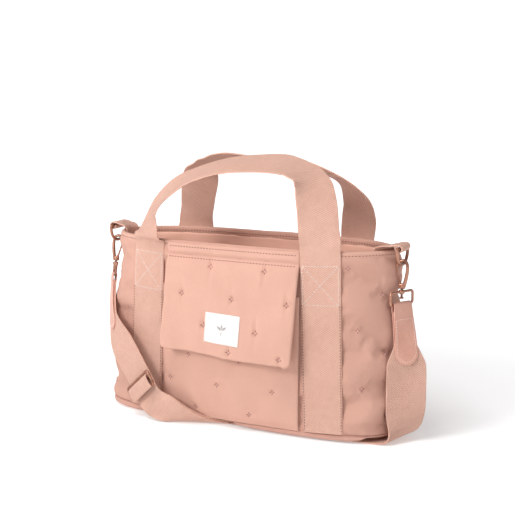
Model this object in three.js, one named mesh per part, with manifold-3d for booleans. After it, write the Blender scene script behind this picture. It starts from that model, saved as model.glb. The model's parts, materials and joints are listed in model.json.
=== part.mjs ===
// A quilted baby changing bag with two webbing handles, a flap over its front pocket and a clip-on strap.
// Millimetres. +Z is up, -Y is the front, and the origin is the centre of the base, on the floor.

import * as THREE from 'three';
import { mergeVertices } from 'three/addons/utils/BufferGeometryUtils.js';
import Module from 'manifold-3d';

const wasm = await Module();
wasm.setup();

const vec = (x, y, z) => new THREE.Vector3(x, y, z);
const mix = THREE.MathUtils.lerp;

// ---------- driving dimensions ----------

const GAP = 0.3; // between neighbouring pieces
const BAG_HEIGHT = 237;
const RIM_HALF_WIDTH = 200;
const WAIST_HALF_WIDTH = 202;
const BASE_HALF_WIDTH = 206;
const HALF_DEPTH = 66;
const PANEL = 4; // quilted cotton with its wadding
const LINING = 1.2;
const SEAM_HEIGHT = 8; // of the seam between the base and the walls
const RIM_EDGE = 4; // height of the bound edge
const WALL_LOW = SEAM_HEIGHT + 4.6; // where the walls start, above the padded base

const WEBBING_WIDTH = 50;
const WEBBING = 2; // thickness
const LEG_X_RIM = 121; // centre of a handle leg, at the rim
const LEG_X_BASE = 130; // and at the base seam
const HANDLE_HINGE_Z = 238.5;

const POCKET_HALF_WIDTH = 96;
const POCKET_TOP = 180;
const POCKET_BULGE = 12;
const POCKET_CLOTH = 3;

const FLAP_WIDTH = 186;
const FLAP_HINGE = vec(3.5, -72, 220); // middle of the flap's top edge
const FLAP_LENGTH = 119;
const FLAP_LEAN = THREE.MathUtils.degToRad(11); // the bottom edge stands off the pocket
const FLAP_CORNER = 9;
const FLAP_BAND = { left: -90, right: 95, depth: 3.4 }; // the flap's sewn-on top, under the rim
const FLAP_PADDED = 4.4; // thickness of the quilted face
const FLAP_BACKING = 2; // thickness of the inner face
const LABEL = { x: 1.5, width: 49, height: 37, depth: 0.6, drop: 86 };
const SNAP = { radius: 8, depth: 1.6, drop: 92 };

const WIRE = 2; // radius of the ring wire
const RING_BAR_Z = 241.5;
const LEFT_RING = { x: 210, y: 0 }; // measured out from the centre, like the right one
const RIGHT_RING = { x: 209, y: -12 }; // the soft end of the bag turns it to the front
const RING = { width: 41, height: 25 };
const TAB_WIDTH = 29;
const HOOK_TOP_Z = 225.6; // centre line of the hook's bow
const HOOK = { drop: 31.6, width: 13.8 }; // from the bow down to the gate's pivot block
const LOOP = { width: 41, height: 19, drop: 38.6 }; // from the bow down to the swivel loop's top bar
const LEFT_CLIP_LEAN = THREE.MathUtils.degToRad(14);
const LEATHER = 1.5;
const END_TAB = { width: 30, length: 80 };
const SLIDER = { width: 58, height: 23, wire: 1.5, bar: 1.3, standoff: 5.2 };
const FLOOR = WEBBING / 2 + GAP; // centre height of the layer that lies on the floor
const UPPER_LAYER = 5.4; // the returning layer runs this far above it
const ADJUSTER = { x: 47, y: -32, reach: 18 }; // the hidden ring under the base that joins the two straps
const ADJUSTER_WIRE = 1.3;
const CHANNEL_DEPTH = 8.6; // pressed into the padded base by the strap beneath it
const CHANNEL_HALF_WIDTH = 29.3;
const BASE_THICKNESS = 12;
const BOARD = 2.2; // thickness of the stiffening board inside the base

// ---------- materials ----------

const material = (color, roughness, metalness = 0) =>
  new THREE.MeshStandardMaterial({ color, roughness, metalness });
const cotton = material(0xcf9d8a, 0.9);
const liningCloth = material(0xc9957f, 0.9);
const webbingCloth = material(0xd6a592, 0.85);
const leather = material(0xcc9a86, 0.6);
const metal = material(0xb07d66, 0.35, 0.85);
const labelCloth = material(0xf4efee, 0.8);
const board = material(0xbcaea2, 0.8);

// ---------- solids from surfaces ----------

/** Turns a geometry's faces outward, so that the volume it encloses is positive. */
function facingOut(geometry) {
  const p = geometry.attributes.position;
  const index = geometry.index.array;
  const corner = (k) => new THREE.Vector3().fromBufferAttribute(p, index[k]);
  let volume = 0;
  for (let k = 0; k < index.length; k += 3) {
    volume += corner(k).dot(corner(k + 1).cross(corner(k + 2)));
  }
  if (volume < 0) geometry.setIndex(Array.from(index).reverse());
  return geometry;
}

/** A closed slab between two surfaces. place(u, v, side) gives a point, with side 0 or 1 and u, v in 0..1. */
function slab(columns, rows, place) {
  const points = [];
  const faces = [];
  const at = (i, j, side) => side * (columns + 1) * (rows + 1) + j * (columns + 1) + i;
  const quad = (a, b, c, d) => faces.push(a, b, c, a, c, d);
  for (const side of [0, 1]) {
    for (let j = 0; j <= rows; j++) {
      for (let i = 0; i <= columns; i++) points.push(place(i / columns, j / rows, side));
    }
  }
  for (let j = 0; j < rows; j++) {
    for (let i = 0; i < columns; i++) {
      quad(at(i, j, 0), at(i + 1, j, 0), at(i + 1, j + 1, 0), at(i, j + 1, 0));
      quad(at(i, j, 1), at(i, j + 1, 1), at(i + 1, j + 1, 1), at(i + 1, j, 1));
    }
    quad(at(0, j, 0), at(0, j + 1, 0), at(0, j + 1, 1), at(0, j, 1));
    quad(at(columns, j, 0), at(columns, j, 1), at(columns, j + 1, 1), at(columns, j + 1, 0));
  }
  for (let i = 0; i < columns; i++) {
    quad(at(i, 0, 0), at(i, 0, 1), at(i + 1, 0, 1), at(i + 1, 0, 0));
    quad(at(i, rows, 0), at(i + 1, rows, 0), at(i + 1, rows, 1), at(i, rows, 1));
  }
  const geometry = new THREE.BufferGeometry().setFromPoints(points);
  geometry.setIndex(faces);
  return facingOut(geometry);
}

function toManifold(geometry) {
  const bare = geometry.clone();
  for (const name of Object.keys(bare.attributes)) {
    if (name !== 'position') bare.deleteAttribute(name);
  }
  const merged = mergeVertices(bare, 1e-4);
  const vertProperties = new Float32Array(merged.attributes.position.array);
  const triVerts = new Uint32Array(merged.index.array);
  return new wasm.Manifold(new wasm.Mesh({ numProp: 3, vertProperties, triVerts }));
}

function fromManifold(solid) {
  const mesh = solid.getMesh();
  const geometry = new THREE.BufferGeometry();
  geometry.setAttribute('position', new THREE.BufferAttribute(mesh.vertProperties, 3));
  geometry.setIndex(new THREE.BufferAttribute(mesh.triVerts, 1));
  return geometry;
}

const join = (...parts) => fromManifold(parts.map(toManifold).reduce((a, b) => a.add(b)));
const cut = (a, ...tools) =>
  fromManifold(tools.map(toManifold).reduce((s, t) => s.subtract(t), toManifold(a)));

/** A round wire along a closed curve. */
const wireLoop = (curve, radius, steps) => new THREE.TubeGeometry(curve, steps, radius, 6, true);

/** A round wire along an open curve, with flat ends. */
function wireAlong(curve, radius, steps) {
  const disc = new THREE.Shape().absarc(0, 0, radius, 0, Math.PI * 2);
  return new THREE.ExtrudeGeometry(disc, { steps, extrudePath: curve, curveSegments: 4 });
}

/** A rounded rectangle as a closed curve in the plane of the two given directions. */
function roundedLoop(width, height, radius, across, up, centre) {
  const w = width / 2 - radius;
  const h = height / 2 - radius;
  const points = [];
  const corners = [[w, h, 0], [-w, h, 1], [-w, -h, 2], [w, -h, 3]];
  for (const [cx, cy, quarter] of corners) {
    for (let k = 0; k <= 3; k++) {
      const a = (quarter + k / 3) * Math.PI / 2;
      const px = cx + radius * Math.cos(a);
      const py = cy + radius * Math.sin(a);
      points.push(centre.clone().addScaledVector(across, px).addScaledVector(up, py));
    }
  }
  return new THREE.CatmullRomCurve3(points, true, 'catmullrom', 0.5);
}

/** An upright rod along a direction, centred on a point. */
function rod(radius, length, direction, centre, sides = 16) {
  const geometry = new THREE.CylinderGeometry(radius, radius, length, sides);
  const upright = vec(0, 1, 0);
  geometry.applyQuaternion(new THREE.Quaternion().setFromUnitVectors(upright, direction.clone().normalize()));
  return geometry.translate(centre.x, centre.y, centre.z);
}

// ---------- the bag's shape ----------

const halfWidth = (t) =>
  BASE_HALF_WIDTH * (1 - t) ** 2 + 2 * WAIST_HALF_WIDTH * t * (1 - t) + RIM_HALF_WIDTH * t * t;
const sidePower = (t) => mix(4.5, 3.8, t);
const frontPower = (t) => mix(3, 1.6, t);

/** Depth of a wall at x: the outline is a rounded rectangle at the base and a lens at the rim. */
function wallDepth(x, z) {
  const t = z / BAG_HEIGHT;
  const inside = Math.max(0, 1 - Math.abs(x / halfWidth(t)) ** sidePower(t));
  return HALF_DEPTH * inside ** (1 / frontPower(t));
}

/** A point of the outline at height z, pulled in by an inset. turn: -1 is left, 0 in front and 1 right. */
function outlinePoint(turn, z, inset = 0) {
  const t = z / BAG_HEIGHT;
  const a = turn * Math.PI / 2;
  const x = (halfWidth(t) - inset) * Math.sign(a) * Math.abs(Math.sin(a)) ** (2 / sidePower(t));
  const y = -(HALF_DEPTH - inset) * Math.abs(Math.cos(a)) ** (2 / frontPower(t));
  return vec(x, y, z);
}

/** The whole outline at height z as a flat shape. */
function outlineShape(z, inset, steps = 12) {
  const front = [];
  for (let k = -steps; k < steps; k++) front.push(outlinePoint(k / steps, z, inset));
  const points = [...front, ...front.map((p) => vec(-p.x, -p.y, z))];
  return new THREE.Shape(points.map((p) => new THREE.Vector2(p.x, p.y)));
}

/** One of the two walls as a sheet, between two heights; the back one is the front one turned half round. */
function wallSheet(low, high, inset, thickness, columns = 24, rows = 4) {
  return slab(columns, rows, (u, v, side) => {
    const p = outlinePoint(2 * u - 1, mix(low, high, v), inset + side * thickness);
    return p.setY(p.y - GAP / 2);
  });
}

/** A patch lying on the front wall: x from left(z) to right(z), standing off by lift(x share, z share). */
function patch(low, high, left, right, lift, thickness, columns, rows) {
  return slab(columns, rows, (u, v, side) => {
    const z = mix(low, high, v);
    const x = mix(left(z), right(z), u);
    return vec(x, -wallDepth(x, z) - lift(u, v) - side * thickness, z);
  });
}

// ---------- ribbons: webbing and leather strips ----------

/** A flat strip through stations {at, across}. width(s) and lift(s) take the share of the length, and lift is
 *  along the strip's face. */
function ribbon(stations, thickness, rows, width, lift = () => 0, columns = 1) {
  const path = new THREE.CatmullRomCurve3(stations.map((s) => s.at), false, 'centripetal');
  const sides = new THREE.CatmullRomCurve3(stations.map((s) => s.across), false, 'centripetal');
  return slab(columns, rows, (u, v, side) => {
    const centre = path.getPoint(v);
    const tangent = path.getTangent(v);
    const across = sides.getPoint(v);
    across.addScaledVector(tangent, -across.dot(tangent)).normalize();
    const face = across.clone().cross(tangent);
    return centre
      .addScaledVector(across, (u - 0.5) * width(v))
      .addScaledVector(face, lift(v) + (side - 0.5) * thickness);
  });
}

const station = (x, y, z, ax, ay, az) => ({ at: vec(x, y, z), across: vec(ax, ay, az).normalize() });

// ---------- scene ----------

const bag = new THREE.Group();

function add(name, geometry, finish, parent = bag) {
  const mesh = new THREE.Mesh(geometry, finish);
  mesh.name = name;
  parent.add(mesh);
  return mesh;
}

const halfTurn = new THREE.Group();
halfTurn.rotation.z = Math.PI;
bag.add(halfTurn);

// ---------- shell ----------

function shell() {
  const low = WALL_LOW;
  const high = BAG_HEIGHT - RIM_EDGE - GAP;
  add('front_panel', wallSheet(low, high, 0, PANEL), cotton);
  add('back_panel', wallSheet(low, high, 0, PANEL), cotton, halfTurn);
  const liningLow = BASE_THICKNESS + 5;
  const liningInset = PANEL + GAP + 1;
  add('front_lining', wallSheet(liningLow, high, liningInset, LINING, 16, 3), liningCloth);
  add('back_lining', wallSheet(liningLow, high, liningInset, LINING, 16, 3), liningCloth, halfTurn);
  const binding = outlineShape(BAG_HEIGHT, -0.6);
  binding.holes.push(new THREE.Path(outlineShape(BAG_HEIGHT, PANEL + LINING + 3).getPoints()));
  const edge = new THREE.ExtrudeGeometry(binding, { depth: RIM_EDGE, bevelEnabled: false });
  add('rim_binding', edge.translate(0, 0, BAG_HEIGHT - RIM_EDGE), cotton);
  const sheet = (inset, depth) =>
    new THREE.ExtrudeGeometry(outlineShape(BASE_THICKNESS, inset), { depth, bevelEnabled: false });
  const stiffener = sheet(PANEL + 9, BOARD);
  add('base_board', stiffener.translate(0, 0, BASE_THICKNESS + GAP), board);
  const floor = sheet(PANEL + 8, LINING);
  add('lining_floor', floor.translate(0, 0, BASE_THICKNESS + BOARD + 1), liningCloth);
}

/** The channel that the strap presses into the base: in under the front edge, out at the right-hand end. */
function strapChannel() {
  const front = ADJUSTER.y - CHANNEL_HALF_WIDTH;
  const rear = ADJUSTER.y + CHANNEL_HALF_WIDTH;
  const beyond = 240;
  const outline = new THREE.Shape();
  outline.moveTo(-82, -100);
  outline.lineTo(-12, -100);
  outline.lineTo(0, front);
  outline.lineTo(110, front);
  outline.quadraticCurveTo(170, front, beyond, front + 12);
  outline.lineTo(beyond, rear + 12);
  outline.quadraticCurveTo(160, rear + 8, 110, rear);
  outline.lineTo(14, rear);
  outline.quadraticCurveTo(-30, rear - 5, -56, -34);
  outline.lineTo(-70, -64);
  const below = 1;
  const channel = new THREE.ExtrudeGeometry(outline, { depth: CHANNEL_DEPTH + below, bevelEnabled: false });
  return channel.translate(0, 0, -below);
}

/** The padded base: a rounded slab with chamfered edges, and the strap's channel in its underside. */
function base() {
  const corner = 4;
  const padded = new THREE.ExtrudeGeometry(outlineShape(0, corner), {
    depth: BASE_THICKNESS - 2 * corner,
    bevelEnabled: true,
    bevelThickness: corner,
    bevelSize: corner,
    bevelSegments: 1,
  });
  padded.translate(0, 0, corner);
  add('base_panel', cut(padded, strapChannel()), cotton);
}

// ---------- handles ----------

const legX = (z, outward) =>
  mix(LEG_X_BASE, LEG_X_RIM, z / BAG_HEIGHT) + outward * WEBBING_WIDTH / 2;

function legs(parent, side) {
  const low = WALL_LOW;
  const high = BAG_HEIGHT - 1;
  const lift = () => 1;
  const right = patch(low, high, (z) => legX(z, -1), (z) => legX(z, 1), lift, WEBBING, 3, 12);
  const left = patch(low, high, (z) => -legX(z, 1), (z) => -legX(z, -1), lift, WEBBING, 3, 12);
  const onRight = side === 'front' ? 'right' : 'left';
  const onLeft = side === 'front' ? 'left' : 'right';
  add(`${side}_${onRight}_leg`, right, webbingCloth, parent);
  add(`${side}_${onLeft}_leg`, left, webbingCloth, parent);
}

/** A handle: each leg rises face-on and turns, so that the top run lies nearly flat. */
function handleStations() {
  const y = -wallDepth(LEG_X_RIM, BAG_HEIGHT) - 2;
  const z = HANDLE_HINGE_Z + 1;
  return [
    station(-LEG_X_RIM, y, z, 1, 0, 0),
    station(-LEG_X_RIM, y, z + 6, 1, 0, 0),
    station(-LEG_X_RIM + 2, y + 2, z + 22, 1, -0.15, 0),
    station(-109, y + 9, z + 52, 0.7, -0.68, 0),
    station(-82, y + 16, z + 83, 0.25, -0.93, -0.2),
    station(-44, y + 19, z + 99, 0, -0.93, -0.37),
    station(20, y + 19, z + 102, 0, -0.93, -0.37),
    station(70, y + 17, z + 99, 0, -0.93, -0.37),
    station(99, y + 14, z + 82, -0.6, -0.78, 0),
    station(109, y + 9, z + 55, -0.95, -0.3, 0),
    station(117, y + 3, z + 25, -1, -0.05, 0),
    station(LEG_X_RIM, y, z + 6, -1, 0, 0),
    station(LEG_X_RIM, y, z, -1, 0, 0),
  ];
}

function handles() {
  legs(bag, 'front');
  legs(halfTurn, 'back');
  const width = () => WEBBING_WIDTH;
  add('front_handle', ribbon(handleStations(), WEBBING, 44, width), webbingCloth);
  add('back_handle', ribbon(handleStations(), WEBBING, 44, width), webbingCloth, halfTurn);
}

// ---------- front pocket and flap ----------

/** How far the pocket's inner side stands off the wall, by its share across and up. */
const pocketLift = (u, v) =>
  1 + POCKET_BULGE * Math.sin(Math.PI * u) ** 0.7 * Math.sin(Math.PI * (0.08 + 0.75 * v));

function pocket() {
  const low = WALL_LOW;
  const left = () => -POCKET_HALF_WIDTH;
  const right = () => POCKET_HALF_WIDTH;
  add('front_pocket', patch(low, POCKET_TOP, left, right, pocketLift, POCKET_CLOTH, 12, 8), cotton);
}

/** A flat board with rounded lower corners, hanging from its top edge, in the XZ plane. */
function flapBoard(width, length, thickness, corner, from = 0) {
  const w = width / 2;
  const outline = new THREE.Shape();
  outline.moveTo(-w, -from);
  outline.lineTo(-w, -length + corner);
  outline.absarc(-w + corner, -length + corner, corner, Math.PI, Math.PI * 1.5);
  outline.lineTo(w - corner, -length);
  outline.absarc(w - corner, -length + corner, corner, -Math.PI / 2, 0);
  outline.lineTo(w, -from);
  const sheet = { depth: thickness, bevelEnabled: false, curveSegments: 6 };
  return new THREE.ExtrudeGeometry(outline, sheet).rotateX(Math.PI / 2);
}

function flap() {
  const { left, right, depth } = FLAP_BAND;
  const band = patch(FLAP_HINGE.z + 1, BAG_HEIGHT - 0.6, () => left, () => right, () => 1, depth, 12, 2);
  add('flap_band', band, cotton);
  const hung = new THREE.Group();
  hung.position.copy(FLAP_HINGE);
  hung.rotation.x = -FLAP_LEAN;
  bag.add(hung);
  const face = flapBoard(FLAP_WIDTH, FLAP_LENGTH, FLAP_PADDED, FLAP_CORNER);
  add('pocket_flap', face, cotton, hung);
  const backing = flapBoard(FLAP_WIDTH - 3, FLAP_LENGTH - 1.5, FLAP_BACKING, FLAP_CORNER, 3);
  add('flap_backing', backing.translate(0, FLAP_BACKING + GAP, 0), liningCloth, hung);
  const label = new THREE.BoxGeometry(LABEL.width, LABEL.depth, LABEL.height);
  label.translate(LABEL.x - FLAP_HINGE.x, -FLAP_PADDED - GAP - LABEL.depth / 2, -LABEL.drop);
  add('flap_label', label, labelCloth, hung);
  const snapY = FLAP_BACKING + 2 * GAP + SNAP.depth / 2;
  const snapAt = vec(-FLAP_HINGE.x, snapY, -SNAP.drop);
  add('flap_snap', rod(SNAP.radius, SNAP.depth, vec(0, 1, 0), snapAt, 24), metal, hung);
}

/** The snap's other half, on the pocket behind the flap's half. */
function pocketSnap() {
  const down = FLAP_HINGE.z - SNAP.drop * Math.cos(FLAP_LEAN);
  const share = (down - WALL_LOW) / (POCKET_TOP - WALL_LOW);
  const surface = -wallDepth(0, down) - pocketLift(0.5, share) - POCKET_CLOTH;
  const centre = vec(0, surface - SNAP.depth / 2 - 2 * GAP, down);
  add('pocket_snap', rod(SNAP.radius, SNAP.depth, vec(0, 1, 0), centre, 20), metal);
}

// ---------- rings, hooks and swivels ----------

/** A strip of webbing over the end of the rim, closed round the ring's bar. */
function ringTab({ x, y }, tuck) {
  const half = WEBBING / 2;
  const loop = WIRE + 1 + half;
  const inside = -tuck;
  const line = [new THREE.Vector2(inside, -28), new THREE.Vector2(inside, -6)];
  line.push(new THREE.Vector2(inside + 3, 0), new THREE.Vector2(-9, loop - 0.6));
  const turns = 14;
  for (let k = 0; k <= turns; k++) {
    const a = Math.PI * (0.5 - 1.55 * k / turns);
    line.push(new THREE.Vector2(loop * Math.cos(a), loop * Math.sin(a)));
  }
  const across = line.map((p, k) => {
    const before = line[Math.max(0, k - 1)];
    const after = line[Math.min(line.length - 1, k + 1)];
    const d = after.clone().sub(before).normalize();
    return new THREE.Vector2(-d.y, d.x);
  });
  const edge = (sign) => line.map((p, k) => p.clone().addScaledVector(across[k], sign * half));
  const outline = new THREE.Shape([...edge(1), ...edge(-1).reverse()]);
  const strip = new THREE.ExtrudeGeometry(outline, { depth: TAB_WIDTH, bevelEnabled: false });
  return strip.rotateX(Math.PI / 2).translate(x, y + TAB_WIDTH / 2, RING_BAR_Z);
}

/** A D-shaped ring in the YZ plane, its straight bar at the top. */
function dRing(at) {
  const w = RING.width / 2 - WIRE;
  const h = RING.height - 2 * WIRE;
  const barShare = 0.12;
  const steps = 22;
  const points = [];
  for (let k = 0; k < steps; k++) {
    const a = (k + 0.5) / steps * Math.PI * 2;
    const c = Math.cos(a);
    const s = Math.sin(a);
    const y = at.y + w * Math.sign(c) * Math.abs(c) ** (s > 0 ? 0.35 : 0.9);
    const z = s > 0 ? barShare * h * s ** 0.35 : -(1 - barShare) * h * Math.abs(s) ** 0.9;
    points.push(vec(at.x, y, RING_BAR_Z - barShare * h + z));
  }
  return wireLoop(new THREE.CatmullRomCurve3(points, true, 'catmullrom', 0.5), WIRE, 28);
}

// A clip hangs from the origin, the top of its hook's bow, in the XZ plane, with its spine on +X.

const GATE_PIVOT = vec(-1.4, 0, -HOOK.drop + 0.4);

/** The hook: a block with a stem under it, a spine on the outer side and a bow ending in a nose. */
function hookBody() {
  const drop = HOOK.drop;
  const half = HOOK.width / 2;
  const spine = new THREE.CatmullRomCurve3([
    vec(2.6, 0, -drop),
    vec(half - 1.4, 0, -drop + 10),
    vec(half, 0, -10),
    vec(half - 1.6, 0, -2.4),
    vec(0.2, 0, 0),
    vec(1.8 - half, 0, -2.4),
    vec(-half, 0, -7),
  ]);
  const bow = wireAlong(spine, WIRE, 16);
  const block = new THREE.BoxGeometry(8.4, 5.4, 7).translate(0.2, 0, -drop);
  const slot = new THREE.BoxGeometry(8.4, 2.4, 12).translate(-3.2, 0, -drop + 2);
  const pinHole = rod(0.92, 12, vec(0, 1, 0), GATE_PIVOT, 12);
  const stem = rod(1.4, 11.6, vec(0, 0, 1), vec(0, 0, -drop - 8.6), 14);
  const head = rod(2.6, 1.4, vec(0, 0, 1), vec(0, 0, -drop - 14.4), 14);
  return cut(join(bow, block, stem, head), slot, pinHole);
}

/** The gate: a flat tongue turning on the pin, its tip just under the nose. */
function hookGate() {
  const tip = vec(-HOOK.width / 2 - 0.1, 0, -9.6);
  const lean = Math.atan2(tip.x - GATE_PIVOT.x, tip.z - GATE_PIVOT.z);
  const length = GATE_PIVOT.distanceTo(tip);
  const eyeRadius = 0.92;
  const outline = new THREE.Shape();
  outline.absarc(0, 0, 1.8, Math.PI, Math.PI * 2);
  outline.lineTo(1, length);
  outline.lineTo(-1, length);
  outline.holes.push(new THREE.Path().absarc(0, 0, eyeRadius, 0, Math.PI * 2, true));
  const plate = new THREE.ExtrudeGeometry(outline, { depth: 1.8, bevelEnabled: false, curveSegments: 8 });
  plate.translate(0, 0, -0.9).rotateX(Math.PI / 2).rotateY(lean);
  return plate.translate(GATE_PIVOT.x, 0, GATE_PIVOT.z);
}

/** The swivelling loop: a rounded rectangle whose top bar carries a boss round the hook's stem. */
function swivelLoop(across) {
  const wire = 1.5;
  const centre = vec(0, 0, -LOOP.drop - LOOP.height / 2 + wire);
  const curve = roundedLoop(LOOP.width - 2 * wire, LOOP.height - 2 * wire, 3.5, across, vec(0, 0, 1), centre);
  const boss = rod(3.6, 4.4, vec(0, 0, 1), vec(0, 0, -LOOP.drop - 0.2), 18);
  const bore = rod(1.75, 12, vec(0, 0, 1), vec(0, 0, -LOOP.drop), 14);
  return cut(join(wireLoop(curve, wire, 26), boss), bore);
}

/** The turned group that a side's clip hangs in. The left one leans forward with its strap. */
function clipGroup(side) {
  const group = new THREE.Group();
  const right = side === 'right';
  group.position.set(right ? RIGHT_RING.x : -LEFT_RING.x, right ? RIGHT_RING.y : -LEFT_RING.y, HOOK_TOP_Z);
  group.rotation.set(right ? 0 : -LEFT_CLIP_LEAN, 0, right ? 0 : Math.PI);
  bag.add(group);
  group.updateMatrixWorld(true);
  return group;
}

function clip(side, across) {
  const group = clipGroup(side);
  const rotation = group.quaternion.clone().invert();
  add(`${side}_hook`, hookBody(), metal, group);
  add(`${side}_hook_gate`, hookGate(), metal, group);
  add(`${side}_gate_pin`, rod(0.62, 5.2, vec(0, 1, 0), GATE_PIVOT, 12), metal, group);
  const flat = across.clone().applyQuaternion(rotation).setZ(0).normalize();
  add(`${side}_swivel_loop`, swivelLoop(flat), metal, group);
  const onRight = side === 'right';
  const end = onRight ? bag : halfTurn;
  const ring = onRight ? RIGHT_RING : LEFT_RING;
  add(`${side}_ring_tab`, ringTab(ring, onRight ? 38 : 26), webbingCloth, end);
  add(`${side}_ring`, dRing(ring), metal, end);
  const bar = group.localToWorld(vec(0, 0, -LOOP.drop - LOOP.height + 3));
  return { bar, across: flat.applyQuaternion(group.quaternion) };
}

// ---------- shoulder strap ----------

/** Edge pair of the strap at a point, from the direction towards its right-hand edge seen from outside. */
function span(x, y, z, ax, ay, az) {
  const half = vec(ax, ay, az).setLength(WEBBING_WIDTH / 2);
  const at = vec(x, y, z);
  return { left: at.clone().sub(half), right: at.add(half) };
}

/** Frames {left, right, face, tangent} of a run of edge pairs, between two shares of its length.
 *  liftAt is along the outer face. */
function framesAlong(edges, from, to, rows, { widthAt = () => 1, liftAt = () => 0 } = {}) {
  const leftCurve = new THREE.CatmullRomCurve3(edges.map((e) => e.left), false, 'centripetal');
  const rightCurve = new THREE.CatmullRomCurve3(edges.map((e) => e.right), false, 'centripetal');
  const middle = (s) => leftCurve.getPoint(s).lerp(rightCurve.getPoint(s), 0.5);
  const frames = [];
  for (let k = 0; k <= rows; k++) {
    const v = k / rows;
    const s = mix(from, to, v);
    const step = 1e-3;
    const before = middle(Math.max(0, s - step));
    const tangent = middle(Math.min(1, s + step)).sub(before).normalize();
    const across = rightCurve.getPoint(s).sub(leftCurve.getPoint(s));
    const face = tangent.clone().cross(across).normalize();
    const half = across.multiplyScalar(widthAt(v) / 2);
    const centre = middle(s).addScaledVector(face, liftAt(v));
    frames.push({ left: centre.clone().sub(half), right: centre.clone().add(half), face, tangent });
  }
  return frames;
}

/** A strip of even thickness through frames. */
function strip(frames, thickness) {
  const rows = frames.length - 1;
  return slab(1, rows, (u, v, side) => {
    const frame = frames[Math.round(v * rows)];
    return frame.left.clone().lerp(frame.right, u).addScaledVector(frame.face, (side - 0.5) * thickness);
  });
}

/** Frames of a half turn that follows a frame, heading along a direction and curling away from its face. */
function halfTurnFrames(frame, along, radius, steps = 7) {
  const frames = [];
  for (let k = 1; k < steps; k++) {
    const a = Math.PI * k / steps;
    const face = frame.face.clone().multiplyScalar(Math.cos(a)).addScaledVector(along, Math.sin(a));
    const shift = face.clone().sub(frame.face).multiplyScalar(radius);
    frames.push({ left: frame.left.clone().add(shift), right: frame.right.clone().add(shift), face });
  }
  return frames;
}

/** The same frames seen from the strip's other face. */
const turnedOver = (frames) => frames.map((f) => ({ ...f, face: f.face.clone().negate() }));

/** A strip folded over a bar at the start of a run, its two layers as far apart as the bar needs. */
function foldedOver(edges, radius, thickness, outer, inner, rows, lift = 0) {
  const layer = ({ to, widthAt }, height) =>
    framesAlong(edges, 0, to, rows, { widthAt, liftAt: () => height });
  const front = layer(outer, lift + radius);
  const back = layer(inner, lift - radius);
  const top = front[0];
  const over = halfTurnFrames(top, top.tangent.clone().negate(), radius);
  return strip([...front.reverse(), ...over, ...turnedOver(back)], thickness);
}

/** A strip that runs to the end of a run, turns round a bar there and comes back above itself. */
function turnedBack(edges, from, backTo, rows, backRows, liftAt) {
  const out = framesAlong(edges, from, 1, rows);
  const end = out[out.length - 1];
  const over = halfTurnFrames(end, end.tangent, UPPER_LAYER / 2);
  const back = framesAlong(edges, 1, backTo, backRows, { liftAt });
  return strip([...out, ...over, ...turnedOver(back)], WEBBING);
}

/** Width share of the end tab, rounded at its lower end. */
function tabWidth(v) {
  const start = 1 - END_TAB.width / 2 / END_TAB.length;
  const x = Math.max(0, (v - start) / (1 - start));
  return END_TAB.width / WEBBING_WIDTH * Math.max(0.15, Math.sqrt(1 - x * x));
}

/** Width share of the webbing, narrowed where it goes inside the end tab. */
const shoulders = (narrow, end) => (v) => mix(narrow, 1, THREE.MathUtils.smoothstep(v, end * 0.45, end));

const SLIDER_AT = vec(-122.6, -80, 43);
const SLIDER_ACROSS = vec(0.731, -0.269, 0.626).normalize();
const SLIDER_DOWN = vec(0.61, -0.15, -0.78).projectOnPlane(SLIDER_ACROSS).normalize();
const SLIDER_FACE = SLIDER_DOWN.clone().cross(SLIDER_ACROSS);

function beside(distance) {
  const p = SLIDER_AT.clone().addScaledVector(SLIDER_DOWN, distance);
  return span(p.x, p.y, p.z, SLIDER_ACROSS.x, SLIDER_ACROSS.y, SLIDER_ACROSS.z);
}

const pair = (lx, ly, lz, rx, ry, rz) => ({ left: vec(lx, ly, lz), right: vec(rx, ry, rz) });

/** From the left swivel loop's bar, past the slider and in under the front edge to the adjuster ring. */
function leftRun({ bar, across }) {
  return [
    span(bar.x, bar.y, bar.z, ...across),
    span(-198, -36, 140, 0.62, -0.7, 0.35),
    span(-180, -59, 113, 0.62, -0.5, 0.6),
    beside(-62),
    beside(-30),
    beside(0),
    beside(18),
    pair(-112, -86, 6, -76, -91, 38),
    pair(-90, -88, FLOOR + 0.4, -50, -85, 21),
    pair(-73, -77, FLOOR, -28, -70, 6.4),
    pair(-56, -60, FLOOR, -6, -57, FLOOR),
    pair(-41, -34, FLOOR, 2, -57, FLOOR),
    pair(-2, -12, FLOOR, 18, -57, FLOOR),
    span(ADJUSTER.x, ADJUSTER.y, FLOOR, 0, -1, 0),
  ];
}
const LEFT_SPLIT = 3 / 13;
const LEFT_RETURN = 6.2 / 13;

/** From the right swivel loop's bar down beside the end of the bag and in under it to the adjuster ring. */
function rightRun({ bar, across }) {
  return [
    span(bar.x, bar.y, bar.z, ...across),
    span(215, -15, 135, 0.62, 0.78, 0),
    span(220, -20, 100, 0.8, 0.6, 0),
    span(221, -22, 65, 0.85, 0.53, 0),
    span(221, -23, 34, 0.75, 0.66, 0),
    span(219, -22, 14, 0.45, 0.89, 0),
    span(210, -21, 4.2, 0.2, 0.98, 0),
    span(197, -21, FLOOR, 0, 1, 0),
    span(150, -26, FLOOR, 0, 1, 0),
    span(ADJUSTER.x + ADJUSTER.reach, ADJUSTER.y, FLOOR, 0, 1, 0),
  ];
}
const RIGHT_SPLIT = 4 / 9;

/** A leather strip folded over the swivel loop's lower bar, with the webbing's end between its two layers. */
function endTab(edges, share) {
  const radius = 1.5 + 2 * GAP + LEATHER / 2;
  const layer = { to: share, widthAt: tabWidth };
  return foldedOver(edges, radius, LEATHER, layer, layer, 18);
}

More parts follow.
